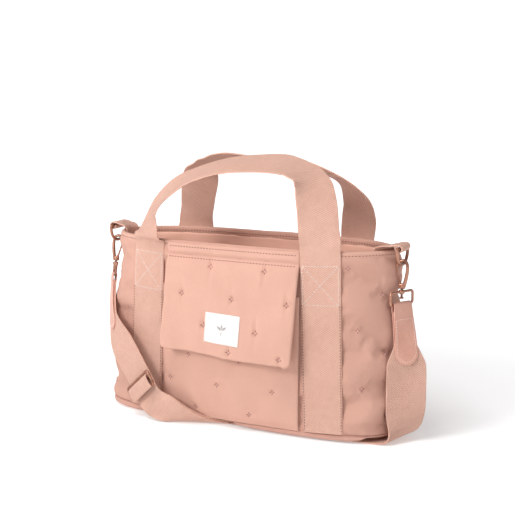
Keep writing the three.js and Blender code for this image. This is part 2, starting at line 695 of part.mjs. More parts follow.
function strap(leftClip, rightClip) {
  const left = leftRun(leftClip);
  const rightEdges = rightRun(rightClip);
  add('left_end_tab', endTab(left, 2.1 / 13), leather);
  add('right_end_tab', endTab(rightEdges, 2.05 / 9), leather);
  const inTab = 0.54;
  const seam = 0.0012;
  const top = (edges, from, to, widthAt) => strip(framesAlong(edges, from, to, 20, { widthAt }), WEBBING);
  const leftTop = top(left, 0.2 / 13, LEFT_SPLIT - seam, shoulders(inTab, 0.75));
  const rightTop = top(rightEdges, 0.2 / 9, RIGHT_SPLIT - seam, shoulders(inTab, 0.62));
  add('left_webbing', leftTop, webbingCloth);
  add('right_webbing', rightTop, webbingCloth);
  const closing = (v) => -mix(UPPER_LAYER, 2.5, THREE.MathUtils.smoothstep(v, 0, 0.6));
  add('long_webbing', turnedBack(left, LEFT_SPLIT + seam, LEFT_RETURN, 50, 36, closing), webbingCloth);
  const tail = turnedBack(rightEdges, RIGHT_SPLIT + seam, 8.62 / 9, 34, 4, () => -UPPER_LAYER);
  add('short_webbing', tail, webbingCloth);
  const centre = vec(ADJUSTER.x + ADJUSTER.reach / 2, ADJUSTER.y, FLOOR + UPPER_LAYER / 2);
  const ring = roundedLoop(ADJUSTER.reach, WEBBING_WIDTH + 4.6, 4, vec(1, 0, 0), vec(0, 1, 0), centre);
  add('adjuster_ring', wireLoop(ring, ADJUSTER_WIRE, 28), metal);
}

/** The slider, a frame with a centre bar just in front of the webbing, and the sewn end round its bar. */
function slider() {
  const centre = SLIDER_AT.clone().addScaledVector(SLIDER_FACE, SLIDER.standoff);
  const wire = SLIDER.wire;
  const inner = { width: SLIDER.width - 2 * wire, height: SLIDER.height - 2 * wire };
  const frame = roundedLoop(inner.width, inner.height, 4, SLIDER_ACROSS, SLIDER_DOWN, centre);
  const bar = rod(SLIDER.bar, inner.width, SLIDER_ACROSS, centre, 12);
  add('slider', join(wireLoop(frame, wire, 32), bar), metal);
  const clothThickness = 1.8;
  const radius = SLIDER.bar + GAP + clothThickness / 2;
  const widthAt = () => (WEBBING_WIDTH - 2) / WEBBING_WIDTH;
  const run = [beside(0), beside(5), beside(10)];
  const short = { to: 0.2, widthAt };
  const full = { to: 1, widthAt };
  const end = foldedOver(run, radius, clothThickness, short, full, 3, SLIDER.standoff);
  add('sewn_end', end, webbingCloth);
}

shell();
base();
handles();
pocket();
flap();
pocketSnap();
const leftClip = clip('left', vec(0.6, -0.8, 0));
const rightClip = clip('right', vec(0.42, 0.91, 0));
strap(leftClip, rightClip);
slider();

export default bag;
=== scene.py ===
"""A quilted baby changing bag: cloth, webbing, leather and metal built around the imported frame.

Lengths in the code are millimetres and become metres when a mesh is made. +Z is up and -Y is the front.
"""

import json
import math

import bmesh
import bpy
import numpy as np
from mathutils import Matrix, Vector


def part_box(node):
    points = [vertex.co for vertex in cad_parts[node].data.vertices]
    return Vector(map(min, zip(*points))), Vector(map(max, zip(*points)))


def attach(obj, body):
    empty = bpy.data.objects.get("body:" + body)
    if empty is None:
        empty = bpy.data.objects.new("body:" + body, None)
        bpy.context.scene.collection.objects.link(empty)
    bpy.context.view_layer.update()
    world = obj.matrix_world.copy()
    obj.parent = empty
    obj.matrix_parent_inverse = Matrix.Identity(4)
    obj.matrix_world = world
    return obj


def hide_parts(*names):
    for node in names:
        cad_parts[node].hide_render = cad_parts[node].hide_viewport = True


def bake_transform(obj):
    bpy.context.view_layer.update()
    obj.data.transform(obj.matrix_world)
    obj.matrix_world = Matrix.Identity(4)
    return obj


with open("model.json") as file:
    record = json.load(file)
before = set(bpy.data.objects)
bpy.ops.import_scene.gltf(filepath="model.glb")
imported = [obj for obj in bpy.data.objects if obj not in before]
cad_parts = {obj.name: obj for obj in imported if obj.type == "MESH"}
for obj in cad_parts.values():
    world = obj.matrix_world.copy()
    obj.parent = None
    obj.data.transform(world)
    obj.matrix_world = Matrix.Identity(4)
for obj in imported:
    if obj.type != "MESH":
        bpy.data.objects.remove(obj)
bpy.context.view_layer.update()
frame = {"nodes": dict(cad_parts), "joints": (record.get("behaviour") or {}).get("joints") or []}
MM = 0.001
UV_SCALE = 0.01  # a UV of 1.0 is 100 mm
JOINTS = {joint["name"]: joint for joint in frame["joints"]}


def corners(node):
    """Lowest and highest corner of a CAD node, in millimetres."""
    low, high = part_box(node)
    return np.array(low) / MM, np.array(high) / MM


def joint_at(name):
    return np.array(JOINTS[name]["pos_m"]) / MM


# ---------- sizes, from the frame ----------

RIM_HIGH = corners("rim_binding")[1]
RIM_OUTSET = 0.6
RIM_TOP = RIM_HIGH[2]
RIM_HALF = RIM_HIGH[0] - RIM_OUTSET
HALF_DEPTH = RIM_HIGH[1] - RIM_OUTSET
BASE_HALF = corners("base_panel")[1][0]
WAIST_HALF = (RIM_HALF + BASE_HALF) / 2 - 1
QUARTER = 247.0  # nominal length of a quarter of the outline
SEAM_Z = 8.0
WALL_PADDING = 3.4
WEBBING = 2.0
WEBBING_WIDTH = 50.0
LEG_LOW, LEG_HIGH = corners("front_right_leg")
LEG_X_RIM = LEG_LOW[0] + WEBBING_WIDTH / 2
LEG_X_BASE = LEG_HIGH[0] - WEBBING_WIDTH / 2
HINGE = joint_at("front_handle_tilt")
HINGE_Y, HINGE_Z = -abs(HINGE[1]), HINGE[2]
POCKET_LOW, POCKET_HIGH = corners("front_pocket")
POCKET_HALF, POCKET_TOP = POCKET_HIGH[0], POCKET_HIGH[2]
FLAP_LOW, FLAP_HIGH = corners("pocket_flap")
LEAN = math.radians(11)  # of the flap, off the wall
FLAP_LENGTH = (FLAP_HIGH[2] - FLAP_LOW[2]) / math.cos(LEAN)
FLAP_FOLD = FLAP_HIGH[2] - 0.4
LABEL_LOW, LABEL_HIGH = corners("flap_label")
WIRE = 2.0  # radius of a ring's wire
X, Y, Z = np.eye(3)


# ---------- numbers ----------

def lerp(a, b, t):
    return a + (b - a) * t


def smooth(x, low, high):
    """0 below low, 1 above high and a smooth step between."""
    t = np.clip((np.asarray(x, float) - low) / (high - low), 0, 1)
    return t * t * (3 - 2 * t)


def bell(x, width):
    return np.exp(-(np.asarray(x, float) / width) ** 2)


def unit(v):
    v = np.asarray(v, float)
    length = np.linalg.norm(v, axis=-1, keepdims=True)
    return v / np.where(length > 1e-9, length, 1)


def run_of(points):
    """Distance along a line at each of its points."""
    return np.concatenate([[0], np.cumsum(np.linalg.norm(np.diff(points, axis=0), axis=1))])


def table(at, known, rows):
    """Rows of numbers read off between known positions."""
    return np.stack([np.interp(at, known, rows[:, k]) for k in range(rows.shape[1])], axis=1)


def spread(start, end, step, edge):
    """Positions from start to end about a step apart, with extra ones at the given distances from both ends."""
    inner = [start + d for d in edge]
    outer = [end - d for d in reversed(edge)]
    count = max(1, int(round((outer[0] - inner[-1]) / step)))
    middle = list(np.linspace(inner[-1], outer[0], count + 1))
    return np.array([start] + inner[:-1] + middle + outer[1:] + [end])


def with_extra(positions, extra):
    """Positions with more of them put in, none closer than a tenth of a millimetre to another."""
    merged = np.sort(np.concatenate([positions, extra]))
    return merged[np.concatenate([[True], np.diff(merged) > 0.1])]


def cubic(values, at, wrap=False):
    """Catmull-Rom samples of values, an array along its first axis, at fractional indices."""
    count = len(values)
    base = np.floor(at).astype(int)
    if not wrap:
        base = np.clip(base, 0, count - 2)
    f = (at - base).reshape((-1,) + (1,) * (values.ndim - 1))
    pick = [(base + k) % count if wrap else np.clip(base + k, 0, count - 1) for k in (-1, 0, 1, 2)]
    p0, p1, p2, p3 = (values[k] for k in pick)
    return 0.5 * (2 * p1 + (p2 - p0) * f + (2 * p0 - 5 * p1 + 4 * p2 - p3) * f ** 2
                  + (3 * p1 - p0 - 3 * p2 + p3) * f ** 3)


def curve(points, step, closed=False, blur=0.0):
    """A smooth curve through rows of numbers whose first three are a position, sampled every step millimetres."""
    points = np.asarray(points, float)
    spans = len(points) if closed else len(points) - 1
    dense = cubic(points, np.linspace(0, spans, spans * 60 + 1), wrap=closed)
    run = run_of(dense[:, :3])
    count = max(3, int(round(run[-1] / step)))
    out = table(np.linspace(0, run[-1], count + 1), run, dense)
    if blur:
        out = blurred(out, blur * count / run[-1])
    return out[:-1] if closed else out


def blurred(rows, width):
    """Rows smoothed along the first axis by a bell of the given width in rows, the ends kept."""
    reach = int(math.ceil(width * 3))
    weights = bell(np.arange(-reach, reach + 1), width * 1.414)
    weights /= weights.sum()
    before = 2 * rows[:1] - rows[1:reach + 1][::-1]
    after = 2 * rows[-1:] - rows[-reach - 1:-1][::-1]
    padded = np.concatenate([before, rows, after])
    return np.stack([np.convolve(column, weights, mode="valid") for column in padded.T], axis=1)


def noise(x, y, seed, size):
    """Soft repeatable noise, mostly from -1 to 1: a few sine waves in different directions."""
    rng = np.random.default_rng(seed)
    total = 0
    for _ in range(7):
        angle = rng.uniform(0, math.tau)
        wave = math.tau / (size * rng.uniform(0.6, 1.7))
        phase = rng.uniform(0, math.tau)
        total = total + np.sin((x * math.cos(angle) + y * math.sin(angle)) * wave + phase)
    return total / 4


# ---------- the bag's outline ----------

def half_width(t):
    return BASE_HALF * (1 - t) ** 2 + 2 * WAIST_HALF * t * (1 - t) + RIM_HALF * t * t


def side_power(t):
    return lerp(4.5, 3.8, t)


def front_power(t):
    return lerp(3.0, 1.6, t)


def wall_depth(x, z):
    """Depth of a wall at x: the outline is a rounded rectangle at the base and a lens at the rim."""
    t = np.asarray(z, float) / RIM_TOP
    inside = np.maximum(0, 1 - np.abs(x / half_width(t)) ** side_power(t))
    return HALF_DEPTH * inside ** (1 / front_power(t))


def legs_middle(z):
    return lerp(LEG_X_BASE, LEG_X_RIM, np.asarray(z, float) / RIM_TOP)


def around_all(count):
    """Evenly spaced outline positions: 0 is the front's middle, QUARTER the right end, twice that the back's."""
    return np.linspace(-QUARTER, 3 * QUARTER, count, endpoint=False)


def outline(along, z, inset=0.0):
    """Points of the outline at height z and at positions along it."""
    t = z / RIM_TOP
    a = math.pi / 2 * np.linspace(0, 1, 1500) ** 3
    x = (half_width(t) - inset) * np.sin(a) ** (2 / side_power(t))
    y = -(HALF_DEPTH - inset) * np.maximum(0, np.cos(a)) ** (2 / front_power(t))
    run = run_of(np.stack([x, y], axis=1))
    quarters = np.asarray(along, float) / QUARTER % 4
    to_front = np.minimum(quarters, 4 - quarters)  # 0 at the front's middle, 2 at the back's
    share = np.where(to_front > 1, 2 - to_front, to_front) * run[-1]
    px = np.interp(share, run, x) * np.where(quarters > 2, -1, 1)
    py = np.interp(share, run, y) * np.where(to_front > 1, -1, 1)
    return np.stack([px, py, np.full_like(px, z)], axis=-1)


def outline_grid(along, heights, inset=0.0):
    insets = np.broadcast_to(inset, np.shape(heights))
    return np.stack([outline(along, z, i) for z, i in zip(heights, insets)])


def outline_normals(along, heights):
    """Outward normals of the plain outline at the middle one of three heights."""
    return normals_of(outline_grid(along, heights), True)[1]


# ---------- meshes ----------

def build(name, points, faces, uvs=None, finish=None):
    mesh = bpy.data.meshes.new(name)
    mesh.from_pydata((np.asarray(points, float) * MM).tolist(), [], faces)
    if uvs is not None:
        layer = mesh.uv_layers.new(name="UVMap")
        corner = np.zeros(len(mesh.loops), np.int32)
        mesh.loops.foreach_get("vertex_index", corner)
        layer.data.foreach_set("uv", (np.asarray(uvs, float)[corner] * UV_SCALE).astype(np.float32).ravel())
    mesh.polygons.foreach_set("use_smooth", [True] * len(mesh.polygons))
    mesh.validate()
    mesh.update()
    piece = bpy.data.objects.new(name, mesh)
    bpy.context.scene.collection.objects.link(piece)
    if finish:
        mesh.materials.append(finish)
    return piece


def grid_faces(rows, cols, start=0, wrap=False, flip=False, loop=False):
    """Quads of a grid of points. wrap joins its last column to the first, loop its last row to the first."""
    faces = []
    for r in range(rows if loop else rows - 1):
        here, there = start + r * cols, start + (r + 1) % rows * cols
        for c in range(cols if wrap else cols - 1):
            d = (c + 1) % cols
            quad = (here + c, here + d, there + d, there + c)
            faces.append(quad[::-1] if flip else quad)
    return faces


def capped(rows, cols):
    """Quads of a tube of rows of points, closed by a face at each end."""
    last = (rows - 1) * cols
    return grid_faces(rows, cols, wrap=True) + [tuple(range(cols))[::-1], tuple(range(last, last + cols))]


def normals_of(grid, wrap=False):
    """Unit normals of a grid of points (rows, columns, 3): columns cross rows."""
    du = np.roll(grid, -1, axis=1) - np.roll(grid, 1, axis=1) if wrap else np.gradient(grid, axis=1)
    return unit(np.cross(du, np.gradient(grid, axis=0)))


def rounding(distance, radius):
    """Share of the full thickness at a distance from a rounded edge."""
    d = np.clip(distance / radius, 0, 1)
    return np.sqrt(np.maximum(0, 1 - (1 - d) ** 2))


def flat_uvs(u, v):
    return np.stack(np.meshgrid(u, v), axis=-1).reshape(-1, 2)


class Sheet:
    """A sheet of cloth as a grid of points. across (columns) and along (rows) are positions in millimetres, and
    wrap is the length round it if its columns close on themselves."""

    def __init__(self, grid, across, along, wrap=False):
        self.grid = np.asarray(grid, float)
        self.across, self.along, self.wrap = across, along, wrap

    def sample(self, field, u, v):
        """A field of the sheet's points at positions between them."""
        rows = np.clip(np.interp(v, self.along, np.arange(len(self.along))), 0, len(self.along) - 1.001)
        if self.wrap:
            cols_at = np.concatenate([self.across, [self.across[0] + self.wrap]])
            shifted = (u - self.across[0]) % self.wrap + self.across[0]
            cols = np.interp(shifted, cols_at, np.arange(len(cols_at)))
        else:
            cols = np.clip(np.interp(u, self.across, np.arange(len(self.across))), 0, len(self.across) - 1.001)
        r, c = np.floor(rows).astype(int), np.floor(cols).astype(int)
        fr, fc = (rows - r)[..., None], (cols - c)[..., None]
        count = field.shape[1]
        c0, c1 = c % count, (c + 1) % count
        top = field[r, c0] * (1 - fc) + field[r, c1] * fc
        bottom = field[r + 1, c0] * (1 - fc) + field[r + 1, c1] * fc
        return top * (1 - fr) + bottom * fr

    def at(self, u, v):
        return self.sample(self.grid, u, v)

    def normals(self):
        return normals_of(self.grid, bool(self.wrap))

    def normal(self, u, v):
        return unit(self.sample(self.normals(), u, v))

    def uvs(self):
        return flat_uvs(self.across, self.along)

    def push(self, distance):
        """Moves the sheet along its own normals."""
        self.grid = self.grid + self.normals() * distance[..., None]


def thick(name, sheet, thickness, finish, edge, back=None):
    """A closed piece from a sheet that is its middle surface, or its outer one if back (its thickness inwards)
    is given. The edges are rounded over a distance."""
    grid, wrap = sheet.grid, bool(sheet.wrap)
    rows, cols = grid.shape[:2]
    u, v = np.meshgrid(sheet.across, sheet.along)
    share = rounding(np.minimum(v - v[0, 0], v[-1, 0] - v), edge)
    if not wrap:
        share = rounding(np.minimum(u - u[0, 0], u[0, -1] - u), edge) * share
    normal = sheet.normals()
    if back is None:
        outer = grid + normal * (thickness / 2 * share)[..., None]
        inner = grid - normal * (thickness / 2 * share)[..., None]
    else:
        outer = grid - normal * (back * (1 - share) / 2)[..., None]
        inner = grid - normal * (back * (1 + share) / 2)[..., None]
    rim = np.zeros((rows, cols), bool)
    rim[0] = rim[-1] = True
    if not wrap:
        rim[:, 0] = rim[:, -1] = True
    count = rows * cols
    joined_to = np.arange(2 * count)
    shared = np.flatnonzero(rim.ravel())
    joined_to[shared + count] = shared
    faces = grid_faces(rows, cols, 0, wrap) + grid_faces(rows, cols, count, wrap, flip=True)
    faces = [tuple(int(joined_to[i]) for i in face) for face in faces]
    points = np.concatenate([outer.reshape(-1, 3), inner.reshape(-1, 3)])
    return cleaned(build(name, points, faces, np.concatenate([sheet.uvs(), sheet.uvs()]), finish))


def cleaned(piece):
    """Drops the points that no face uses and joins the ones that lie on each other."""
    bm = bmesh.new()
    bm.from_mesh(piece.data)
    bmesh.ops.remove_doubles(bm, verts=bm.verts, dist=1e-6)
    bmesh.ops.delete(bm, geom=[v for v in bm.verts if not v.link_faces], context="VERTS")
    bmesh.ops.recalc_face_normals(bm, faces=bm.faces)
    bm.to_mesh(piece.data)
    bm.free()
    piece.data.polygons.foreach_set("use_smooth", [True] * len(piece.data.polygons))
    piece.data.update()
    return piece


def frames_along(points, closed, start_up):
    """Tangents and two turning-free side directions along a line of points."""
    if closed:
        tangent = unit(np.roll(points, -1, axis=0) - np.roll(points, 1, axis=0))
    else:
        tangent = unit(np.gradient(points, axis=0))
    side = np.cross(start_up, tangent[0])
    if np.linalg.norm(side) < 0.1:
        side = np.cross(Y, tangent[0])
    side = unit(side)
    sides = []
    for direction in tangent:
        side = unit(side - direction * np.dot(side, direction))
        sides.append(side)
    sides = np.array(sides)
    if closed:
        wanted = unit(sides[0] - tangent[-1] * np.dot(sides[0], tangent[-1]))
        twist = math.atan2(np.dot(np.cross(sides[-1], wanted), tangent[-1]), np.dot(sides[-1], wanted))
        turn = np.linspace(0, twist, len(points))[:, None]
        sides = sides * np.cos(turn) + np.cross(tangent, sides) * np.sin(turn)
    return tangent, sides, np.cross(tangent, sides)


def sweep(points, radius, closed=False, sides=14, taper=1.0, up=(0, 0, 1)):
    """(points, faces) of a round rod along a line, with domed ends where it is open."""
    tangent, first, second = frames_along(points, closed, up)
    angle = np.linspace(0, math.tau, sides, endpoint=False)
    ring = (np.cos(angle)[:, None, None] * first + np.sin(angle)[:, None, None] * second).transpose(1, 0, 2)
    widths = np.full(len(points), radius) * taper
    body = points[:, None, :] + ring * widths[:, None, None]
    if closed:
        return body.reshape(-1, 3), grid_faces(len(points), sides, wrap=True, loop=True)
    caps = []
    for index, direction in ((0, -1), (-1, 1)):
        out, wide = tangent[index] * direction * widths[index], ring[index] * widths[index]
        caps.append(np.array([points[index] + out * share + wide * math.sqrt(1 - share ** 2)
                              for share in (0.35, 0.7, 0.92)]))
    rows = np.concatenate([caps[0][::-1], body, caps[1]])
    return rows.reshape(-1, 3), capped(len(rows), sides)


def lathe(profile, origin, axis, sides=28):
    """(points, faces) of a turned shape. profile holds (radius, height) pairs from one end to the other."""
    axis = unit(axis)
    first = unit(np.cross(axis, Y if abs(axis[1]) < 0.9 else X))
    second = np.cross(axis, first)
    angle = np.linspace(0, math.tau, sides, endpoint=False)
    ring = np.cos(angle)[:, None] * first + np.sin(angle)[:, None] * second
    rows = np.array([np.asarray(origin) + ring * r + axis * h for r, h in profile])
    return rows.reshape(-1, 3), capped(len(rows), sides)


def rounded_block(size, centre, radius):
    """(points, faces) of a box with rounded edges."""
    bm = bmesh.new()
    bmesh.ops.create_cube(bm, size=1.0)
    for v in bm.verts:
        v.co = Vector(c * s for c, s in zip(v.co, size))
    bmesh.ops.bevel(bm, geom=list(bm.edges), offset=radius, segments=3, profile=0.5, affect="EDGES")
    points = np.array([v.co[:] for v in bm.verts]) + centre
    bm.verts.index_update()
    faces = [tuple(v.index for v in f.verts) for f in bm.faces]
    bm.free()
    return points, faces


def joined(*parts):
    """Several (points, faces) as one."""
    points, faces, start = [], [], 0
    for part_points, part_faces in parts:
        points.append(part_points)
        faces += [tuple(i + start for i in face) for face in part_faces]
        start += len(part_points)
    return np.concatenate(points), faces


# ---------- materials ----------

class Shader:
    """A material's node tree, with the little helpers that the materials below share."""

    def __init__(self, name):
        self.material = bpy.data.materials.new(name)
        self.material.use_nodes = True
        self.tree = self.material.node_tree
        self.uv = self.tree.nodes.new("ShaderNodeTexCoord").outputs["UV"]
        self.place = self.tree.nodes.new("ShaderNodeNewGeometry").outputs["Position"]

    def node(self, kind, inputs, **values):
        """A node with its inputs linked or set."""
        made = self.tree.nodes.new(kind)
        for key, value in values.items():
            setattr(made, key, value)
        for key, value in inputs.items():
            if isinstance(value, bpy.types.NodeSocket):
                self.tree.links.new(value, made.inputs[key])
            else:
                made.inputs[key].default_value = value
        return made

    def math(self, operation, a, b=0.0):
        return self.node("ShaderNodeMath", {0: a, 1: b}, operation=operation).outputs[0]

    def times(self, a, b):
        return self.math("MULTIPLY", a, b)

    def sum(self, first, *others):
        for other in others:
            first = self.math("ADD", first, other)
        return first

    def noise(self, scale, detail=3.0, rough=0.55, stretch=(1, 1, 1), source=None):
        mapping = self.node("ShaderNodeMapping", {"Vector": source or self.place, "Scale": stretch})
        return self.node("ShaderNodeTexNoise", {"Vector": mapping.outputs[0], "Scale": scale, "Detail": detail,
                                                "Roughness": rough}).outputs[0]

    def range(self, value, low, high, to_low=0.0, to_high=1.0):
        return self.node("ShaderNodeMapRange", dict(enumerate((value, low, high, to_low, to_high)))).outputs[0]

    def mix(self, share, a, b):
        return self.node("ShaderNodeMix", {"Factor": share, "A": a, "B": b}, data_type="RGBA").outputs["Result"]

    def axes(self):
        """The U and V coordinates."""
        return self.node("ShaderNodeSeparateXYZ", {0: self.uv}).outputs[:2]

    def wave(self, along, pitch, offset=None):
        """A sine from -1 to 1 that repeats every pitch of along."""
        turned = self.times(along, 1 / pitch * math.tau)
        return self.math("SINE", self.sum(turned, offset) if offset else turned)

    def bump(self, height, distance, strength, under=None):
        inputs = {"Height": height, "Distance": distance, "Strength": strength}
        if under:
            inputs["Normal"] = under
        return self.node("ShaderNodeBump", inputs).outputs[0]

    def finish(self, color, roughness, normal, **more):
        values = {"Base Color": color, "Roughness": roughness, "Normal": normal}
        values.update((key.replace("_", " "), value) for key, value in more.items())
        bsdf = self.tree.nodes["Principled BSDF"]
        for key, value in values.items():
            if isinstance(value, bpy.types.NodeSocket):
                self.tree.links.new(value, bsdf.inputs[key])
            else:
                bsdf.inputs[key].default_value = value
        return self.material


def shade(r, g, b):
    """An sRGB colour of 0 to 255 as the linear one that shaders take."""
    return (*(((c / 255 + 0.055) / 1.055) ** 2.4 for c in (r, g, b)), 1.0)


def woven(name, dark, light, thread=0.0042, depth=0.00012, crumple=0.0008):
    """Plain-woven cloth. thread is the pitch in UV units."""
    s = Shader(name)
    u, v = s.axes()
    wobble = s.times(s.noise(9, 2, source=s.uv), 5.0)
    weave = s.times(s.wave(u, thread, wobble), s.wave(v, thread, wobble))
    slubs = [s.times(s.noise(26, 3, 0.6, stretch, s.uv), 0.35) for stretch in ((1, 9, 1), (9, 1, 1))]
    patches = s.noise(14, 4, 0.6)
    tone = s.sum(*slubs, s.times(patches, 0.5), s.times(weave, 0.10))
    soft = s.bump(s.noise(70, 4, 0.6), crumple, 0.35, s.bump(weave, depth, 0.7))
    return s.finish(s.mix(s.range(tone, 0.3, 0.95), dark, light), s.range(patches, 0.2, 0.8, 0.82, 0.95), soft,
                    Sheen_Weight=0.25, Sheen_Roughness=0.5, Sheen_Tint=light)


def twill(name, dark, light, pitch=0.024, depth=0.0008):
    """Heavy cotton webbing: slanting rows of little raised threads with darker gaps between them."""
    s = Shader(name)
    u, v = s.axes()
    jitter = s.times(s.noise(16, 2, source=s.uv), 2.2)
    rib = s.wave(s.sum(s.times(u, 0.6), v), pitch, jitter)
    cross = s.wave(s.math("SUBTRACT", s.times(u, 1.7), s.times(v, 0.9)), pitch * 0.95, jitter)
    weave = s.sum(s.times(rib, 0.5), s.times(cross, 0.5))
    patches = s.noise(18, 4, 0.6)
    fibre = s.noise(150, 2, 0.6)
    tone = s.sum(s.times(weave, 0.5), s.times(patches, 0.35), s.times(fibre, 0.3))
    normal = s.bump(fibre, 0.0002, 0.3, s.bump(weave, depth, 0.9))
    return s.finish(s.mix(s.range(tone, -0.2, 0.75), dark, light), s.range(patches, 0.2, 0.8, 0.75, 0.92), normal,
                    Sheen_Weight=0.1, Sheen_Roughness=0.5, Sheen_Tint=light)


def leather_finish():
    s = Shader("leather")
    grain = s.node("ShaderNodeTexVoronoi", {"Vector": s.place, "Scale": 900}).outputs["Distance"]
    pores = s.noise(420, 4, 0.65)
    patches = s.noise(22, 4, 0.6)
    color = s.mix(s.range(patches, 0.25, 0.75), shade(196, 142, 124), shade(218, 165, 147))
    color = s.mix(s.range(pores, 0.3, 0.5, 0.35, 0.0), color, shade(178, 122, 104))
    normal = s.bump(pores, 0.0003, 0.35, s.bump(grain, 0.0003, 0.35))
    return s.finish(color, s.range(patches, 0.2, 0.8, 0.42, 0.6), normal, Sheen_Weight=0.08)


def metal_finish():
    s = Shader("metal")
    patches = s.noise(90, 4, 0.65)
    streaks = s.noise(700, 2, 0.5, (1, 1, 0.08))
    color = s.mix(s.range(patches, 0.3, 0.75), shade(146, 100, 82), shade(196, 148, 126))
    rough = s.sum(s.range(patches, 0.2, 0.8, 0.24, 0.38), s.times(streaks, 0.08))
    return s.finish(color, rough, s.bump(streaks, 0.0001, 0.15), Metallic=0.9)


def thread_finish(name, *rgb):
    s = Shader(name)
    color = shade(*rgb)
    fibre = s.noise(1500, 2, 0.6)
    dark = tuple(c * 0.64 for c in color[:3]) + (1.0,)
    return s.finish(s.mix(s.range(fibre, 0.3, 0.7), dark, color), s.range(fibre, 0.2, 0.8, 0.5, 0.7),
                    s.bump(fibre, 0.0003, 0.6), Sheen_Weight=0.3)


def label_finish():
    s = Shader("label")
    u, v = s.axes()
    weave = s.times(s.wave(u, 0.0035), s.wave(v, 0.0050))
    patches = s.noise(60, 3)
    color = s.mix(s.range(patches, 0.3, 0.7), shade(228, 220, 217), shade(243, 239, 237))
    return s.finish(color, s.range(patches, 0.2, 0.8, 0.6, 0.75), s.bump(weave, 0.00012, 0.5), Sheen_Weight=0.2)


def board_finish():
    s = Shader("board")
    flecks = s.noise(240, 5, 0.7)
    color = s.mix(s.range(flecks, 0.3, 0.7), shade(150, 128, 110), shade(196, 178, 160))
    return s.finish(color, s.range(flecks, 0.2, 0.8, 0.7, 0.85), s.bump(flecks, 0.0004, 0.3))


def floor_finish():
    """A pale floor that glows more with distance, so that it fades into the backdrop."""
    s = Shader("floor")
    haze = s.noise(3, 3, 0.5)
    color = s.mix(s.range(haze, 0.3, 0.7), (0.80, 0.80, 0.80, 1), (0.82, 0.82, 0.82, 1))
    away = s.node("ShaderNodeVectorMath", {0: s.place}, operation="LENGTH").outputs["Value"]
    return s.finish(color, s.range(haze, 0.2, 0.8, 0.85, 0.95), s.bump(haze, 0.0002, 0.05),
                    Emission_Color=(1, 1, 1, 1), Emission_Strength=s.range(away, 0.3, 1.3, 0.3, 0.8))


COTTON = woven("cotton", shade(203, 155, 137), shade(227, 180, 162))
# darker than COTTON: painted shade on the walls, which turn away from the light
SHADED_WALL_COTTON = woven("wall_cotton_painted_shade", shade(194, 146, 129), shade(220, 172, 155))
# darker than COTTON: painted shade on the base, low down by the floor
SHADED_BASE_COTTON = woven("base_cotton_painted_shade", shade(196, 148, 133), shade(218, 170, 154))
# the lining's own pale tone, made paler still as painted light where the lining lies in shade
LINING_WITH_PAINTED_LIGHT = woven("lining", shade(222, 172, 152), shade(242, 194, 174), thread=0.0030, depth=0.00008, crumple=0.0006)
WEBBING_CLOTH = twill("webbing", shade(216, 152, 131), shade(255, 214, 194))
LEATHER = leather_finish()
METAL = metal_finish()
LABEL = label_finish()
BOARD = board_finish()
THREAD = thread_finish("thread", 255, 228, 217)
# the same thread as THREAD, darkened: painted shade in the stitch holes and seam grooves
THREAD_PAINTED_SHADE = thread_finish("thread_painted_shade", 158, 102, 88)
EMBROIDERY = thread_finish("embroidery", 172, 104, 94)
EMBROIDERY_PALE = thread_finish("embroidery_pale", 244, 206, 196)


# ---------- placing pieces ----------

def dress(piece, stands_for):
    """Lets a piece stand for the named CAD nodes, which it hides."""
    if stands_for:
        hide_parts(*stands_for)
    return piece


def put(piece, body, slot, *stands_for):
    """Fixes a piece to a body."""
    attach(piece, body)
    return dress(piece, stands_for)


def bend(piece, slot, body, other, start, end, *stands_for):
    """Bakes a piece's transform into its mesh and hides the CAD nodes that it stands for. body, other, start and
    end are not used.
    """
    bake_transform(piece)
    return dress(piece, stands_for)


def metal_piece(name, body, shape, *stands_for):
    return put(build(name, *shape, finish=METAL), body, "metal", *stands_for)


# ---------- stitches and sprigs ----------

class Stitches:
    """Collects little stitches, each a capsule lying on cloth, into one piece."""

    SIDES = 5
    RINGS = ((0.0, 0.25, -0.5), (0.14, 0.8, 0.05), (0.5, 1.0, 0.35), (0.86, 0.8, 0.05), (1.0, 0.25, -0.5))

    def __init__(self):
        self.points = []

    def add(self, start, end, normal, radius):
        """A stitch between two points on cloth with the given normal; it stands out in its middle."""
        length = np.linalg.norm(end - start)
        if length < 1e-6:
            return
        along = (end - start) / length
        side = unit(np.cross(along, normal))
        up = np.cross(side, along)
        angle = np.linspace(0, math.tau, self.SIDES, endpoint=False)
        around = np.cos(angle)[:, None] * side + np.sin(angle)[:, None] * up
        for share, width, rise in self.RINGS:
            self.points.append(start + along * length * share + up * (rise * radius) + radius * width * around)

    def row(self, line, normals, length=3.0, gap=0.8, radius=0.42):
        """Stitches along a line of points that lie on cloth."""
        run = run_of(line)
        at = gap / 2
        while at + length <= run[-1]:
            start, end = table([at, at + length], run, line)
            self.add(start, end, unit(table([at + length / 2], run, normals)[0]), radius)
            at += length + gap

    def on(self, sheet, offset, u, v, length=3.0, gap=0.8, radius=0.42):
        """Stitches over a sheet along u and v, one of which may be a number, at an offset from the sheet."""
        u, v = np.broadcast_arrays(u, v)
        normals = sheet.normal(u, v)
        self.row(sheet.at(u, v) + normals * offset, normals, length, gap, radius)

    def piece(self, name, finish):
        one = capped(len(self.RINGS), self.SIDES)
        size = len(self.RINGS) * self.SIDES
        count = len(self.points) // len(self.RINGS)
        faces = [tuple(i + k * size for i in face) for k in range(count) for face in one]
        return build(name, np.concatenate(self.points), faces, finish=finish)


